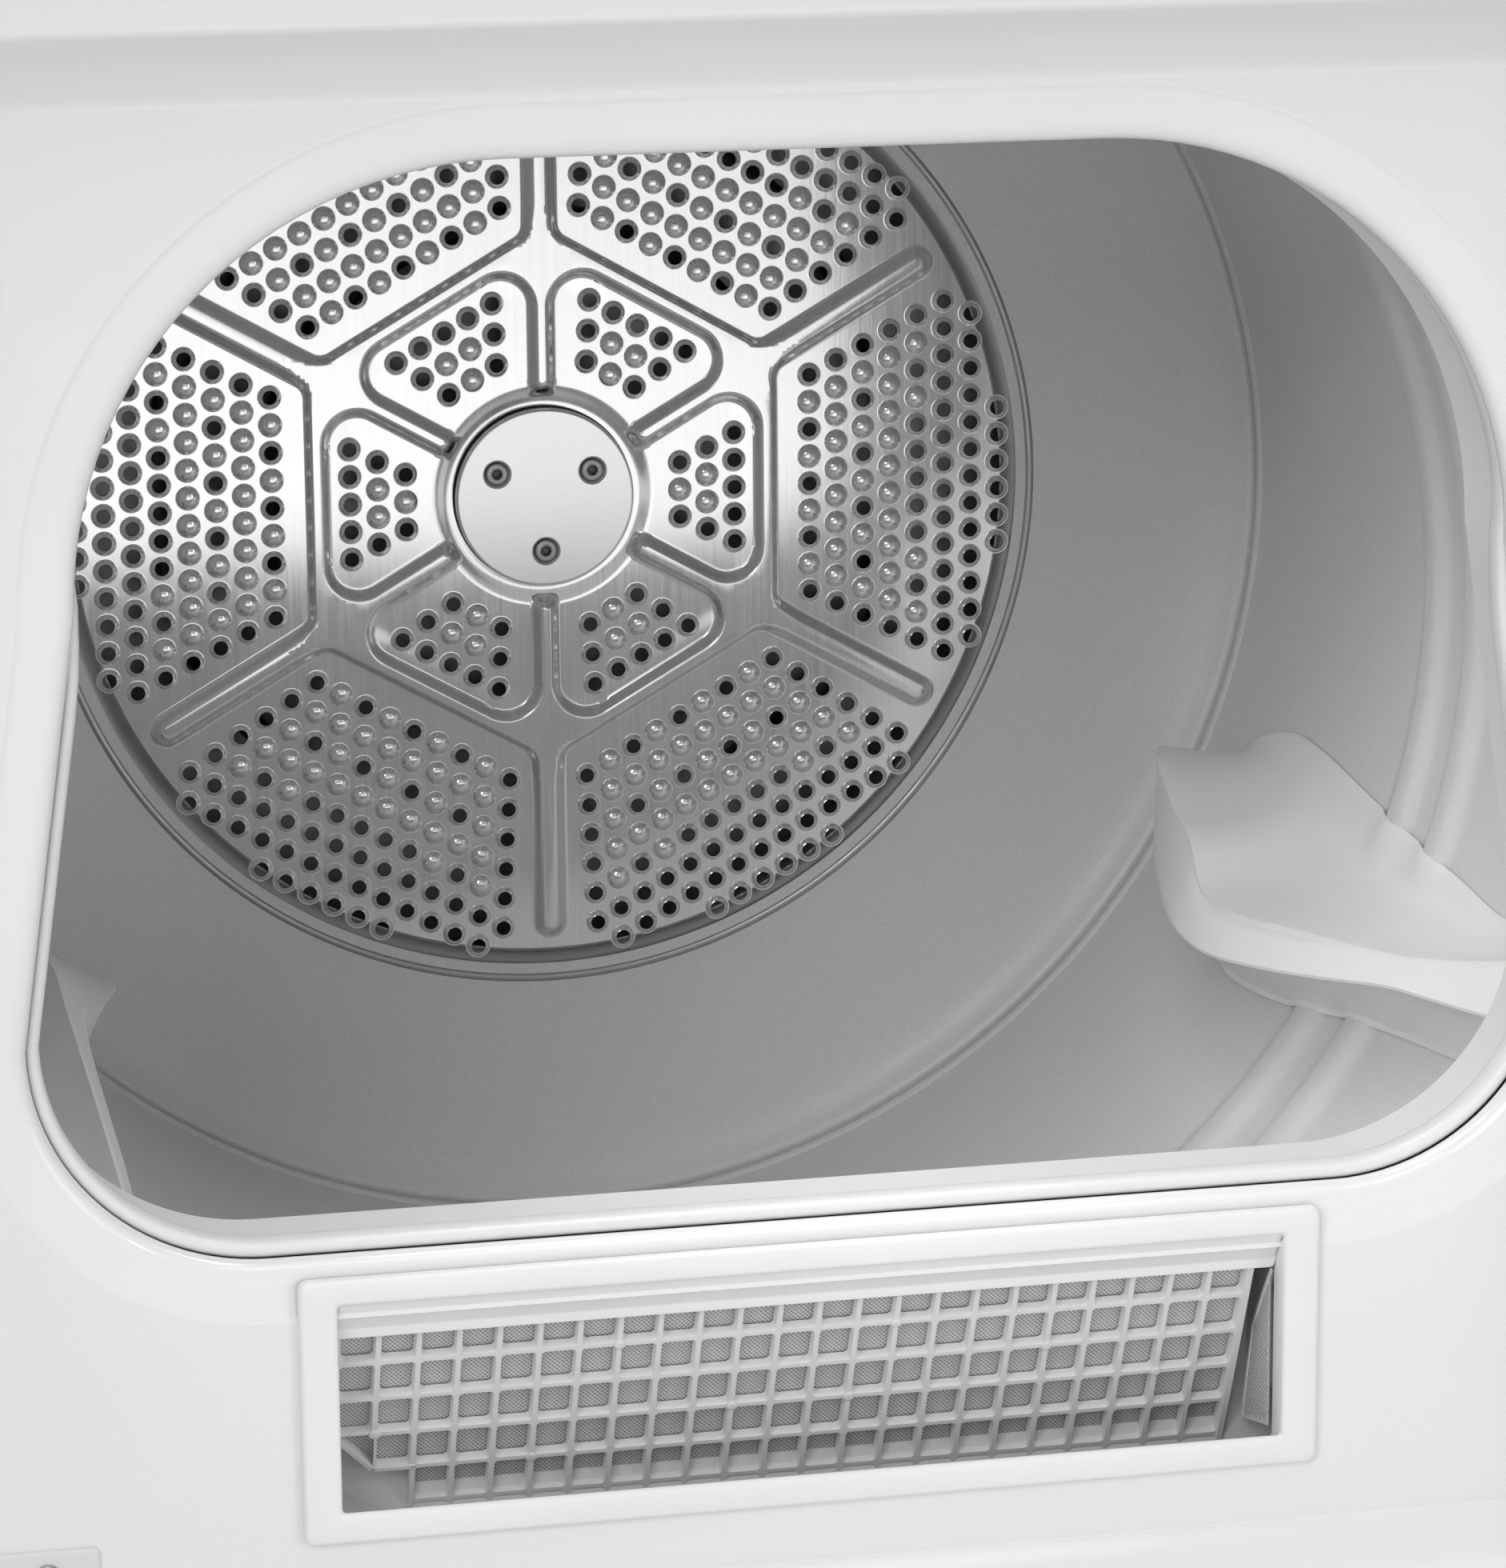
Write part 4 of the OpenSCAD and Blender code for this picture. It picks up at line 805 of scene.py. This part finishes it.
def hub():
    s = Mesh()
    T = np.linspace(0, 2 * math.pi, 128, endpoint=False)
    y0 = PY - 0.0062
    screws = [(0.0245 * math.cos(math.radians(a)), 0.0245 * math.sin(math.radians(a))) for a in (28, 152, 270)]
    W = 24
    ws = np.linspace(0, 2 * math.pi, W, endpoint=False)
    holes = [[(x + 0.0066 * math.cos(t), DZ + z + 0.0066 * math.sin(t)) for t in ws] for x, z in screws]
    rim = [(0.0392 * math.cos(t), DZ + 0.0392 * math.sin(t)) for t in T]
    s.planar(rim, holes, y0)
    prof = [(0.0392, 0), (0.0397, 0.00008), (0.0401, 0.0003), (0.04035, 0.0007), (0.0404, 0.0012), (0.0404, 0.0050), (0.0398, 0.0056)]
    s.loft([[(r * math.cos(t), y0 + y, DZ + r * math.sin(t)) for t in T] for r, y in prof], flip=True)
    for x, z in screws:
        pr = [(0.0066, 0), (0.0063, 0.0001), (0.0060, 0.0004), (0.0056, 0.0010), (0.0053, 0.0014), (0.0050, 0.0016), (0.0028, 0.0017)]
        s.loft([[(x + r * math.cos(t), y0 + y, DZ + z + r * math.sin(t)) for t in ws] for r, y in pr], flip=True)
    make("hub_cap_disc", s.v, s.f, M["hub"], "drum", ("hub_disc",), angle=50)
    # screws: countersunk heads with six-lobed sockets
    s = Mesh()
    d = Mesh()
    for x, z in screws:
        pr = [(0.0064, 0.00012), (0.0061, 0.0005), (0.0057, 0.0011), (0.0052, 0.0015), (0.0049, 0.0016)]
        d.loft([[(x + r * math.cos(t), y0 + y - 0.00006, DZ + z + r * math.sin(t)) for t in ws] for r, y in pr], flip=True)
        pr = [(0.0049, 0.0015), (0.0048, 0.0009), (0.0045, 0.00068), (0.0036, 0.00058), (0.0031, 0.0006), (0.0029, 0.00036), (0.0025, 0.0003), (0.0024, 0.00055)]
        s.loft([[(x + r * math.cos(t), y0 + y, DZ + z + r * math.sin(t)) for t in ws] for r, y in pr], flip=True)
        lobe = [[(x + k * (r + 0.00028 * math.cos(6 * t)) * math.cos(t), y0 + y, DZ + z + k * (r + 0.00028 * math.cos(6 * t)) * math.sin(t)) for t in ws] for r, y, k in ((0.0024, 0.00055, 1), (0.0020, 0.0007, 1), (0.0018, 0.0026, 1), (0.0008, 0.0029, 1))]
        d.loft(lobe, flip=True)
        d.cap(lobe[-1])
    make("hub_cap_screws", s.v, s.f, M["screw"], "drum", ("hub_screws",), angle=40)
    # the countersink seat rings and six-lobed sockets are dark steel: painted shade of the recesses round and inside
    # the screw heads
    make("hub_cap_screw_seats_painted_shade", d.v, d.f, M["dark"], "drum", (), angle=40)


# ------------------------------------------------------------------ baffles
# per station: y, foot upper angle, crest edge 1 (angle, radius), crest edge 2 (angle, radius), foot lower angle
VANE = [
    (0.078, 8.6, (7.6, 0.3185), (3.2, 0.3170), -0.6),
    (0.100, 8.4, (6.4, 0.3080), (1.9, 0.3050), -1.2),
    (0.130, 7.6, (4.3, 0.3000), (0.7, 0.2960), -2.0),
    (0.165, 6.4, (2.2, 0.2935), (-0.7, 0.2890), -3.0),
    (0.210, 6.6, (0.2, 0.2880), (-3.3, 0.2835), -4.2),
    (0.260, 6.9, (-1.8, 0.2840), (-6.0, 0.2795), -5.8),
    (0.310, 7.2, (-3.9, 0.2800), (-8.2, 0.2770), -7.8),
    (0.350, 7.5, (-4.3, 0.2775), (-8.6, 0.2770), -9.0),
    (0.385, 7.8, (-1.6, 0.2755), (-8.0, 0.2800), -9.6),
    (0.415, 7.9, (-0.4, 0.2745), (-6.8, 0.2830), -9.3),
    (0.440, 7.7, (1.0, 0.2740), (-5.8, 0.2860), -9.3),
    (0.462, 6.9, (2.2, 0.2745), (-4.6, 0.2900), -9.0),
    (0.480, 5.8, (2.8, 0.2800), (-3.8, 0.2980), -8.4),
    (0.492, 4.4, (2.6, 0.2930), (-3.2, 0.3080), -7.4),
    (0.501, 2.6, (1.4, 0.3140), (-2.6, 0.3190), -5.6),
]


def baffle(idx, a0):
    s = Mesh()
    st = np.array([[v[0], v[1], v[2][0], v[2][1], v[3][0], v[3][1], v[4]] for v in VANE])
    # resample stations smoothly
    tt = np.linspace(0, len(st) - 1, 60)
    cols = []
    P = [2 * st[0] - st[1]] + list(st) + [2 * st[-1] - st[-2]]
    for t in tt:
        i = min(int(t), len(st) - 2)
        u = t - i
        a, b, c, d = P[i], P[i + 1], P[i + 2], P[i + 3]
        cols.append(0.5 * ((2 * b) + (-a + c) * u + (2 * a - 5 * b + 4 * c - d) * u ** 2 + (-a + 3 * b - 3 * c + d) * u ** 3))
    b0, b1 = RY + 0.229, RY + 0.278

    def wall(y):
        r = DR - 0.0003
        for y0 in (b0, b1):
            u = (y - y0) / 0.038
            if 0 < u < 1:
                e = min(1, min(u, 1 - u) / 0.42)
                r -= 0.0042 * (0.5 - 0.5 * math.cos(math.pi * e))
        return r
    rings = []
    for y, fu, c1a, c1r, c2a, c2r, fl in cols:
        Y = RY + y
        rw = wall(Y)
        plain = DR - 0.0003
        pts = []
        # foot flange, concave sweep up to crest edge 1
        pts.append((fu + 0.5, rw - 0.0002))
        pts.append((fu + 0.3, rw - 0.0012))
        for u in (0.0, 0.10, 0.22, 0.36, 0.50, 0.64, 0.78, 0.90, 0.97):
            ang = fu + (c1a - fu) * (u ** 0.80)
            # only the foot follows the drum's beads, the face stays smooth
            rb = rw + (plain - rw) * min(1.0, u / 0.22)
            rad = rb - 0.0018 - (rb - c1r - 0.0018) * (u ** 1.75)
            pts.append((ang, rad))
        pts.append((c1a - 0.10, c1r + 0.0000))
        pts.append((c1a - 0.45, c1r - 0.0002 + 0.0006))
        for u in (0.18, 0.35, 0.52, 0.69, 0.85):
            ang = c1a + (c2a - c1a) * u
            bow = 0.0016 * math.sin(math.pi * u)
            pts.append((ang, c1r + (c2r - c1r) * u - bow * 0.35))
        pts.append((c2a + 0.10, c2r))
        pts.append((c2a - 0.10, c2r + 0.0008))
        for u in (0.25, 0.5, 0.75, 0.93):
            ang = c2a + (fl - c2a) * u + 0.7 * math.sin(math.pi * u)
            rb = plain + (rw - plain) * max(0.0, (u - 0.75) / 0.25)
            pts.append((ang, c2r + (rb - 0.0014 - c2r) * u))
        pts.append((fl - 0.1, rw - 0.0012))
        pts.append((fl - 0.5, rw - 0.0002))
        rings.append([(r * math.cos(math.radians(a0 + a)), Y, DZ + r * math.sin(math.radians(a0 + a))) for a, r in pts])
    s.loft(rings, closed=False, flip=False)
    s.cap(rings[0], flip=True)
    s.cap(rings[-1])
    make("lifting_baffle_%d" % idx, s.v, s.f, M["vane"], "drum", ("baffle_%d" % idx,), angle=32)


# ------------------------------------------------------------------ lint port
BH, BZ0, BZ1 = 0.1825, DZ - 0.249, DZ - 0.1525
SH, SZ0, SZ1 = 0.169, DZ - 0.238, DZ - 0.162


def bezel():
    s = Mesh()

    def o(g, y):
        return ring3(rrect(-BH + g, BH - g, BZ0 + g, BZ1 - g, 0.0035, 4), RY + y)

    def i(g, y, up=0.0, low=0.0):
        """Inner outline; up lowers its top edge."""
        p = rrect(-SH - g, SH + g, SZ0 - g - low, SZ1 + g, 0.0016, 4)
        zt = SZ1 + g
        return [(x, RY + y, z - up * max(0.0, min(1.0, (z - (zt - 0.004)) / 0.004))) for x, z in p]
    s.loft([o(0, 0), o(0, -0.0020), o(0.0003, -0.0030), o(0.0010, -0.0037), o(0.0020, -0.0040), i(0.0020, -0.0040), i(0.0009, -0.0037), i(0.0003, -0.0031), i(0, -0.0022),
            i(0, 0.0050, 0.0108, 0.0030), i(0, 0.0056, 0.0114, 0.0034), i(0, 0.0060, 0.0122, 0.0036), i(0, 0.0061, 0.0148, 0.0037), i(0, 0.0064, 0.0153, 0.0038), i(0, 0.0070, 0.0155, 0.0042), i(0, 0.0080, 0.0155, 0.0046)], flip=True)
    make("lint_port_bezel", s.v, s.f, M["bezel"], "cabinet", ("lint_bezel",), angle=35)


def lint_filter():
    s = Mesh()
    W = SH - 0.0050
    zt_, zb_ = SZ1 - 0.0205, SZ0 - 0.0125
    yt, yb = RY + 0.0115, RY + 0.0435
    L = math.hypot(yb - yt, zb_ - zt_)
    ty, tz = (yb - yt) / L, (zb_ - zt_) / L         # down the slope
    ny, nz = tz, -ty                                # out of the face, towards the front
    if ny > 0:
        ny, nz = -ny, -nz

    def on(u, v, h=0.0):
        return (u, yt + (yb - yt) * v + ny * h, zt_ + (zb_ - zt_) * v + nz * h)
    NV = 24
    pitch = 0.01425
    x0 = -0.1534 - pitch
    x1 = x0 + pitch * (NV - 1)
    vs = np.array([-0.10, 0.119, 0.356, 0.593, 0.830, 1.067, 1.17])
    NR = len(vs)
    hw, hd = 0.00095, 0.0034
    # every cell is a tapered, round-cornered well
    for c in range(NV - 1):
        xa, xb = x0 + c * pitch, x0 + (c + 1) * pitch
        for r in range(NR - 1):
            if (r >= 4 and c < 2) or (r == 3 and c < 1):
                continue
            va, vb = vs[r], vs[r + 1]
            dv = hw / L

            def cell(g, h):
                """Round-cornered outline of the well, grown by -g, at height h."""
                xm0, xm1 = xa + hw + g, xb - hw - g
                a0, a1 = va * L + hw + g, vb * L - hw - g
                rr = 0.0016
                out = []
                for cx_, ca_, q0 in ((xm1 - rr, a1 - rr, 0), (xm0 + rr, a1 - rr, 90), (xm0 + rr, a0 + rr, 180), (xm1 - rr, a0 + rr, 270)):
                    for k in range(4):
                        t = math.radians(q0 + 30 * k)
                        out.append(on(cx_ + rr * math.cos(t), (ca_ + rr * math.sin(t)) / L, h))
                return out
            square = []
            for (xq, aq), (xr, ar) in (((xb, vb * L), (xa, vb * L)), ((xa, vb * L), (xa, va * L)), ((xa, va * L), (xb, va * L)), ((xb, va * L), (xb, vb * L))):
                for k in range(4):
                    f = (k + 0.0) / 4 + (0.5 if k >= 0 else 0)
                    square.append((xq, aq))
            square = [on(px, pa / L, 0.0) for px, pa in square]
            s.loft([square, cell(-0.0001, 0.0), cell(0.00012, -0.0003), cell(0.0004, -0.0016), cell(0.0006, -hd)], flip=True)
    # edge frames
    def edge(pth, w, d):
        a = np.array(pth)
        for p, q in zip(a[:-1], a[1:]):
            dx, dv_ = q[0] - p[0], (q[1] - p[1]) * L
            ln = math.hypot(dx, dv_)
            ox, ov = -dv_ / ln * w / 2, dx / ln * w / 2 / L
            ex_, ev = dx / ln * w * 0.35, dv_ / ln * w * 0.35 / L
            pr = [(-1, -d), (-1, 0.0), (-0.75, 0.0005), (0.75, 0.0005), (1, 0.0), (1, -d)]
            rings = []
            for pt, sg in ((p, -1), (q, 1)):
                rings.append([on(pt[0] + k * ox + sg * ex_, pt[1] + k * ov + sg * ev, h) for k, h in pr])
            s.loft(rings, closed=True, flip=True)
            s.cap(rings[0], flip=False)
            s.cap(rings[1], flip=True)
    edge([(x1 + 0.0006, vs[0] + 0.01), (x1 + 0.0006, vs[-1])], 0.0028, 0.0044)
    edge([(x0 - 0.0002, vs[0] + 0.01), (x0 - 0.0002, vs[3]), (x0 + pitch, vs[4])], 0.0022, 0.0040)
    edge([(x0 + pitch, vs[4]), (x0 + 2 * pitch, vs[4]), (x0 + 2 * pitch, vs[-1] - 0.02)], 0.0022, 0.0040)
    edge([(x0 + 2 * pitch, vs[-1]), (x1, vs[-1])], 0.0024, 0.0044)
    T = np.linspace(0, 2 * math.pi, 18, endpoint=False)
    for i_, r_ in ((7, 1), (14, 1), (1, 3), (10, 3), (13, 3), (18, 2), (21, 3), (5, 4)):
        c = (x0 + pitch * i_, vs[r_])
        rings = []
        for r, h in ((0.0021, -0.0004), (0.0021, 0.0003), (0.0018, 0.0006), (0.0010, 0.0007)):
            rings.append([on(c[0] + r * math.cos(t), c[1] + r * math.sin(t) / L, h) for t in T])
        s.loft(rings, flip=True)
        s.cap(rings[-1], flip=True)
    # rim of the triangular end screen
    tri = [(0.0085, SZ1 - 0.0165), (0.0300, SZ1 - 0.045), (0.0420, SZ0 - 0.010), (0.0085, SZ0 - 0.0005)]
    W = 0.1684

    def band(pth, w):
        for (y0, z0), (y1, z1) in zip(pth[:-1], pth[1:]):
            dy, dz = y1 - y0, z1 - z0
            ln = math.hypot(dy, dz)
            oy, oz = -dz / ln * w, dy / ln * w
            xk = W - 0.0002
            s.add([(xk, RY + y0, z0), (xk, RY + y1, z1), (xk, RY + y1 - oy, z1 - oz), (xk, RY + y0 - oy, z0 - oz),
                   (xk - 0.0007, RY + y0, z0), (xk - 0.0007, RY + y1, z1), (xk - 0.0007, RY + y1 - oy, z1 - oz), (xk - 0.0007, RY + y0 - oy, z0 - oz)],
                  [(4, 5, 6, 7), (0, 3, 2, 1), (0, 1, 5, 4), (2, 3, 7, 6), (1, 2, 6, 5), (3, 0, 4, 7)])
    band(tri[:3], 0.0014)
    make("lint_filter_grid", s.v, s.f, M["grid"], "lint_filter", ("lint_filter_frame",), angle=40)
    # fine screens: sheet behind the grid, and the pierced triangular end
    s = Mesh()
    b = -0.0040
    out = [(x0 - 0.001, vs[0]), (x1 + 0.001, vs[0]), (x1 + 0.001, vs[-1]), (x0 + 2 * pitch, vs[-1]), (x0 + 2 * pitch, vs[4] + 0.02), (x0 + pitch, vs[4] + 0.02), (x0 - 0.001, vs[3] + 0.02)]
    k = len(out)
    s.add([on(u, v, b) for u, v in out] + [on(u, v, b - 0.0005) for u, v in out],
          [tuple(range(k)), tuple(range(2 * k - 1, k - 1, -1))] + [(i_, k + i_, k + (i_ + 1) % k, (i_ + 1) % k) for i_ in range(k)])
    make("lint_filter_screen", s.v, s.f, M["screen"], "lint_filter", ("lint_filter_mesh",), angle=40)
    # end screen with its small holes cut through
    s = Mesh()
    poly = [(RY + y, z) for y, z in tri]
    holes = []
    P2 = np.array(poly)
    st = 0.00185
    row = 0
    z = SZ0 - 0.009
    cand = []
    while z < SZ1 - 0.018:
        y = RY + 0.009 + (st / 2 if row % 2 else 0)
        while y < RY + 0.040:
            cand.append((y, z))
            y += st
        z += st * 0.866
        row += 1
    cand = np.array(cand)
    okc = inside(cand, P2)
    for q in range(len(P2)):
        a_, b_ = P2[q], P2[(q + 1) % len(P2)]
        dd = b_ - a_
        tt = np.clip(((cand - a_) @ dd) / (dd @ dd), 0, 1)
        okc &= np.hypot(*(cand - (a_ + tt[:, None] * dd)).T) > 0.0019
    hx = [(0.00055 * math.cos(t), 0.00055 * math.sin(t)) for t in np.linspace(0, 2 * math.pi, 8, endpoint=False)]
    holes = [[(y + a_, z + b_) for a_, b_ in hx] for y, z in cand[okc]]
    q = Mesh()
    q.planar(poly, holes, 0.0)
    xk = W - 0.0006
    vv = [(xk, a_, c_) for a_, b_, c_ in q.v]
    vb = [(xk + 0.0004, a_, c_) for a_, b_, c_ in q.v]
    nq = len(vv)
    s.add(vv + vb, [tuple(f[::-1]) for f in q.f] + [tuple(i_ + nq for i_ in f) for f in q.f])
    make("lint_filter_end_screen", s.v, s.f, M["grid"], "lint_filter", (), angle=40)


# ------------------------------------------------------------------ small trims on the front
def covers():
    s = Mesh()
    c = Mesh()
    for x, z in ((-0.271, DZ - 0.252), (-0.289, DZ + 0.196)):
        P = [(0.0, 0.0), (0.0, -0.0016), (0.0003, -0.0021), (0.0010, -0.0024), (0.0020, -0.0024)]
        rings = [ring3(rrect(x - 0.018 + g, x + 0.018 - g, z - 0.009 + g, z + 0.009 - g, 0.0022, 4), RY + y) for g, y in P]
        s.loft(rings, flip=True)
        hole = [(x + 0.0022 * math.cos(t), z + 0.0022 * math.sin(t)) for t in np.linspace(0, 2 * math.pi, 20, endpoint=False)]
        s.planar([(a, b) for a, _, b in rings[-1]], [hole], RY - 0.0024)
        T = np.linspace(0, 2 * math.pi, 28, endpoint=False)
        hd = [(0.0046, -0.0023), (0.0046, -0.0030), (0.0042, -0.0037), (0.0033, -0.0042), (0.0022, -0.00435)]
        r2 = [[(x + r * math.cos(t), RY + y, z + r * math.sin(t)) for t in T] for r, y in hd]
        c.loft(r2, flip=True)
        inn = [[(x + (r + 0.0004 * math.cos(4 * t)) * math.cos(t), RY + y, z + (r + 0.0004 * math.cos(4 * t)) * math.sin(t)) for t in T] for r, y in ((0.0020, -0.00435), (0.0013, -0.0032), (0.0004, -0.0024))]
        c.loft([r2[-1]] + inn, flip=True)
        c.cap(inn[-1])
    make("hinge_hole_cover_plates", s.v, s.f, M["plastic"], "cabinet", ("hinge_hole_covers",), angle=40)
    # rear panel screws: hex washer heads
    for zz in (0.060, 0.300, 0.600, 0.860):
        for sx in (-1, 1):
            x = sx * (HW - 0.012)
            T = np.linspace(0, 2 * math.pi, 24, endpoint=False)
            w = [[(x + r * math.cos(t), BY + y, zz + r * math.sin(t)) for t in T] for r, y in ((0.0046, 0.0), (0.0046, 0.0006), (0.0042, 0.0009), (0.0032, 0.0009))]
            c.loft(w)
            H6 = np.linspace(0, 2 * math.pi, 6, endpoint=False)
            h = [[(x + r * math.cos(t), BY + y, zz + r * math.sin(t)) for t in H6] for r, y in ((0.0033, 0.0009), (0.0033, 0.0019), (0.0028, 0.0022))]
            c.loft(h)
            c.cap(h[-1], flip=True)
    make("cabinet_screw_heads", c.v, c.f, M["screw"], "cabinet", ("cabinet_screws",), angle=40)


front_panel()
bulkhead()
drum()
plate()
hub()
baffle(1, -25.0)
baffle(2, 95.0)
baffle(3, -141.0)
bezel()
lint_filter()
covers()

# ------------------------------------------------------------------ CAD nodes that keep their shape
KEEP = {
    "enamel_side": ["left_side_panel", "right_side_panel", "top_deck", "door_outer_panel", "console_shell"],
    "plastic": ["control_fascia", "door_inner_panel", "door_handle", "door_catch", "door_switch_body", "door_switch_button"],
    "knob": ["timer_knob", "selector_knob", "start_button"],
    "grid": ["lint_duct", "blower_housing", "blower_cover", "blower_wheel", "idler_pulley"],
    "zinc": ["base_pan", "rear_panel", "terminal_cover", "exhaust_duct", "heater_housing", "rear_bearing_housing", "motor_bracket", "hinge_brackets", "door_hinge_straps", "door_strike", "idler_arm"],
    "screw": ["hinge_pins", "drum_shaft", "motor_shaft"],
    "dark": ["heater_coils", "motor_housing"],
    "brass": ["rear_bearing_sleeve"],
    "felt": ["front_drum_seal", "rear_drum_seal"],
    "glide": ["drum_glides"],
    "rubber": ["drive_belt", "foot_front_left", "foot_front_right", "foot_rear_left", "foot_rear_right"],
    "seal": ["door_seal"],
}
for mat, names in KEEP.items():
    for nm in names:
        o = NODES[nm]
        o.data.materials.clear()
        o.data.materials.append(M[mat])


# ------------------------------------------------------------------ stage, lights
def floor():
    me = bpy.data.meshes.new("floor")
    me.from_pydata([(-12, -12, 0), (12, -12, 0), (12, 12, 0), (-12, 12, 0)], [], [(0, 1, 2, 3)])
    ob = bpy.data.objects.new("floor", me)
    bpy.context.scene.collection.objects.link(ob)
    m, t, N, L, p = new_mat("pale_floor")
    p.inputs["Base Color"].default_value = (0.80, 0.80, 0.80, 1)
    p.inputs["Roughness"].default_value = 0.7
    ob.data.materials.append(m)


floor()


def area(name, loc, target, size, energy, size_y=None, color=(1, 1, 1)):
    d = bpy.data.lights.new(name, 'AREA')
    d.shape = 'RECTANGLE'
    d.size = size
    d.size_y = size_y or size
    d.energy = energy
    d.color = color
    o = bpy.data.objects.new(name, d)
    bpy.context.scene.collection.objects.link(o)
    o.location = loc
    o.rotation_euler = (Vector(target) - Vector(loc)).to_track_quat('-Z', 'Y').to_euler()
    return o


w = bpy.data.worlds.new("studio")
bpy.context.scene.world = w
w.use_nodes = True
w.node_tree.nodes["Background"].inputs["Color"].default_value = (1, 1, 1, 1)
w.node_tree.nodes["Background"].inputs["Strength"].default_value = 0.50
area("key", (-1.5, -3.0, 2.3), (0, -0.2, 0.55), 1.6, 37)
area("fill_right", (2.2, -2.6, 0.9), (0, 0.2, 0.55), 1.4, 13)
area("top", (0.0, -0.8, 3.2), (0, 0.0, 0.6), 1.8, 16)


def spot(name, loc, target, angle, energy, radius):
    d = bpy.data.lights.new(name, 'SPOT')
    d.spot_size = math.radians(angle)
    d.spot_blend = 1.0
    d.energy = energy
    d.shadow_soft_size = radius
    o = bpy.data.objects.new(name, d)
    bpy.context.scene.collection.objects.link(o)
    o.location = loc
    o.rotation_euler = (Vector(target) - Vector(loc)).to_track_quat('-Z', 'Y').to_euler()
    return o


spot("drum_right_wall", (-1.35, -1.75, 1.15), (0.27, -0.12, 0.46), 11, 74, 0.20)
spot("drum_left_wall", (1.10, -1.60, 1.45), (-0.25, -0.12, 0.31), 9, 36, 0.20)
lamp = area("drum_light", (0.05, -0.16, 0.77), (0.09, -0.24, 0.22), 0.34, 0.34, 0.12)
lamp.data.spread = math.radians(100)
lamp.visible_camera = False
card = area("low_front_card", (0.24, -1.20, 0.37), (0.24, 0.0, 0.37), 0.90, 0.24, 0.42)
card.data.spread = math.radians(90)
card.visible_camera = False

bpy.context.scene.view_settings.view_transform = 'Standard'
bpy.context.scene.view_settings.look = 'None'
bpy.context.scene.view_settings.exposure = 0.0
bpy.context.view_layer.update()
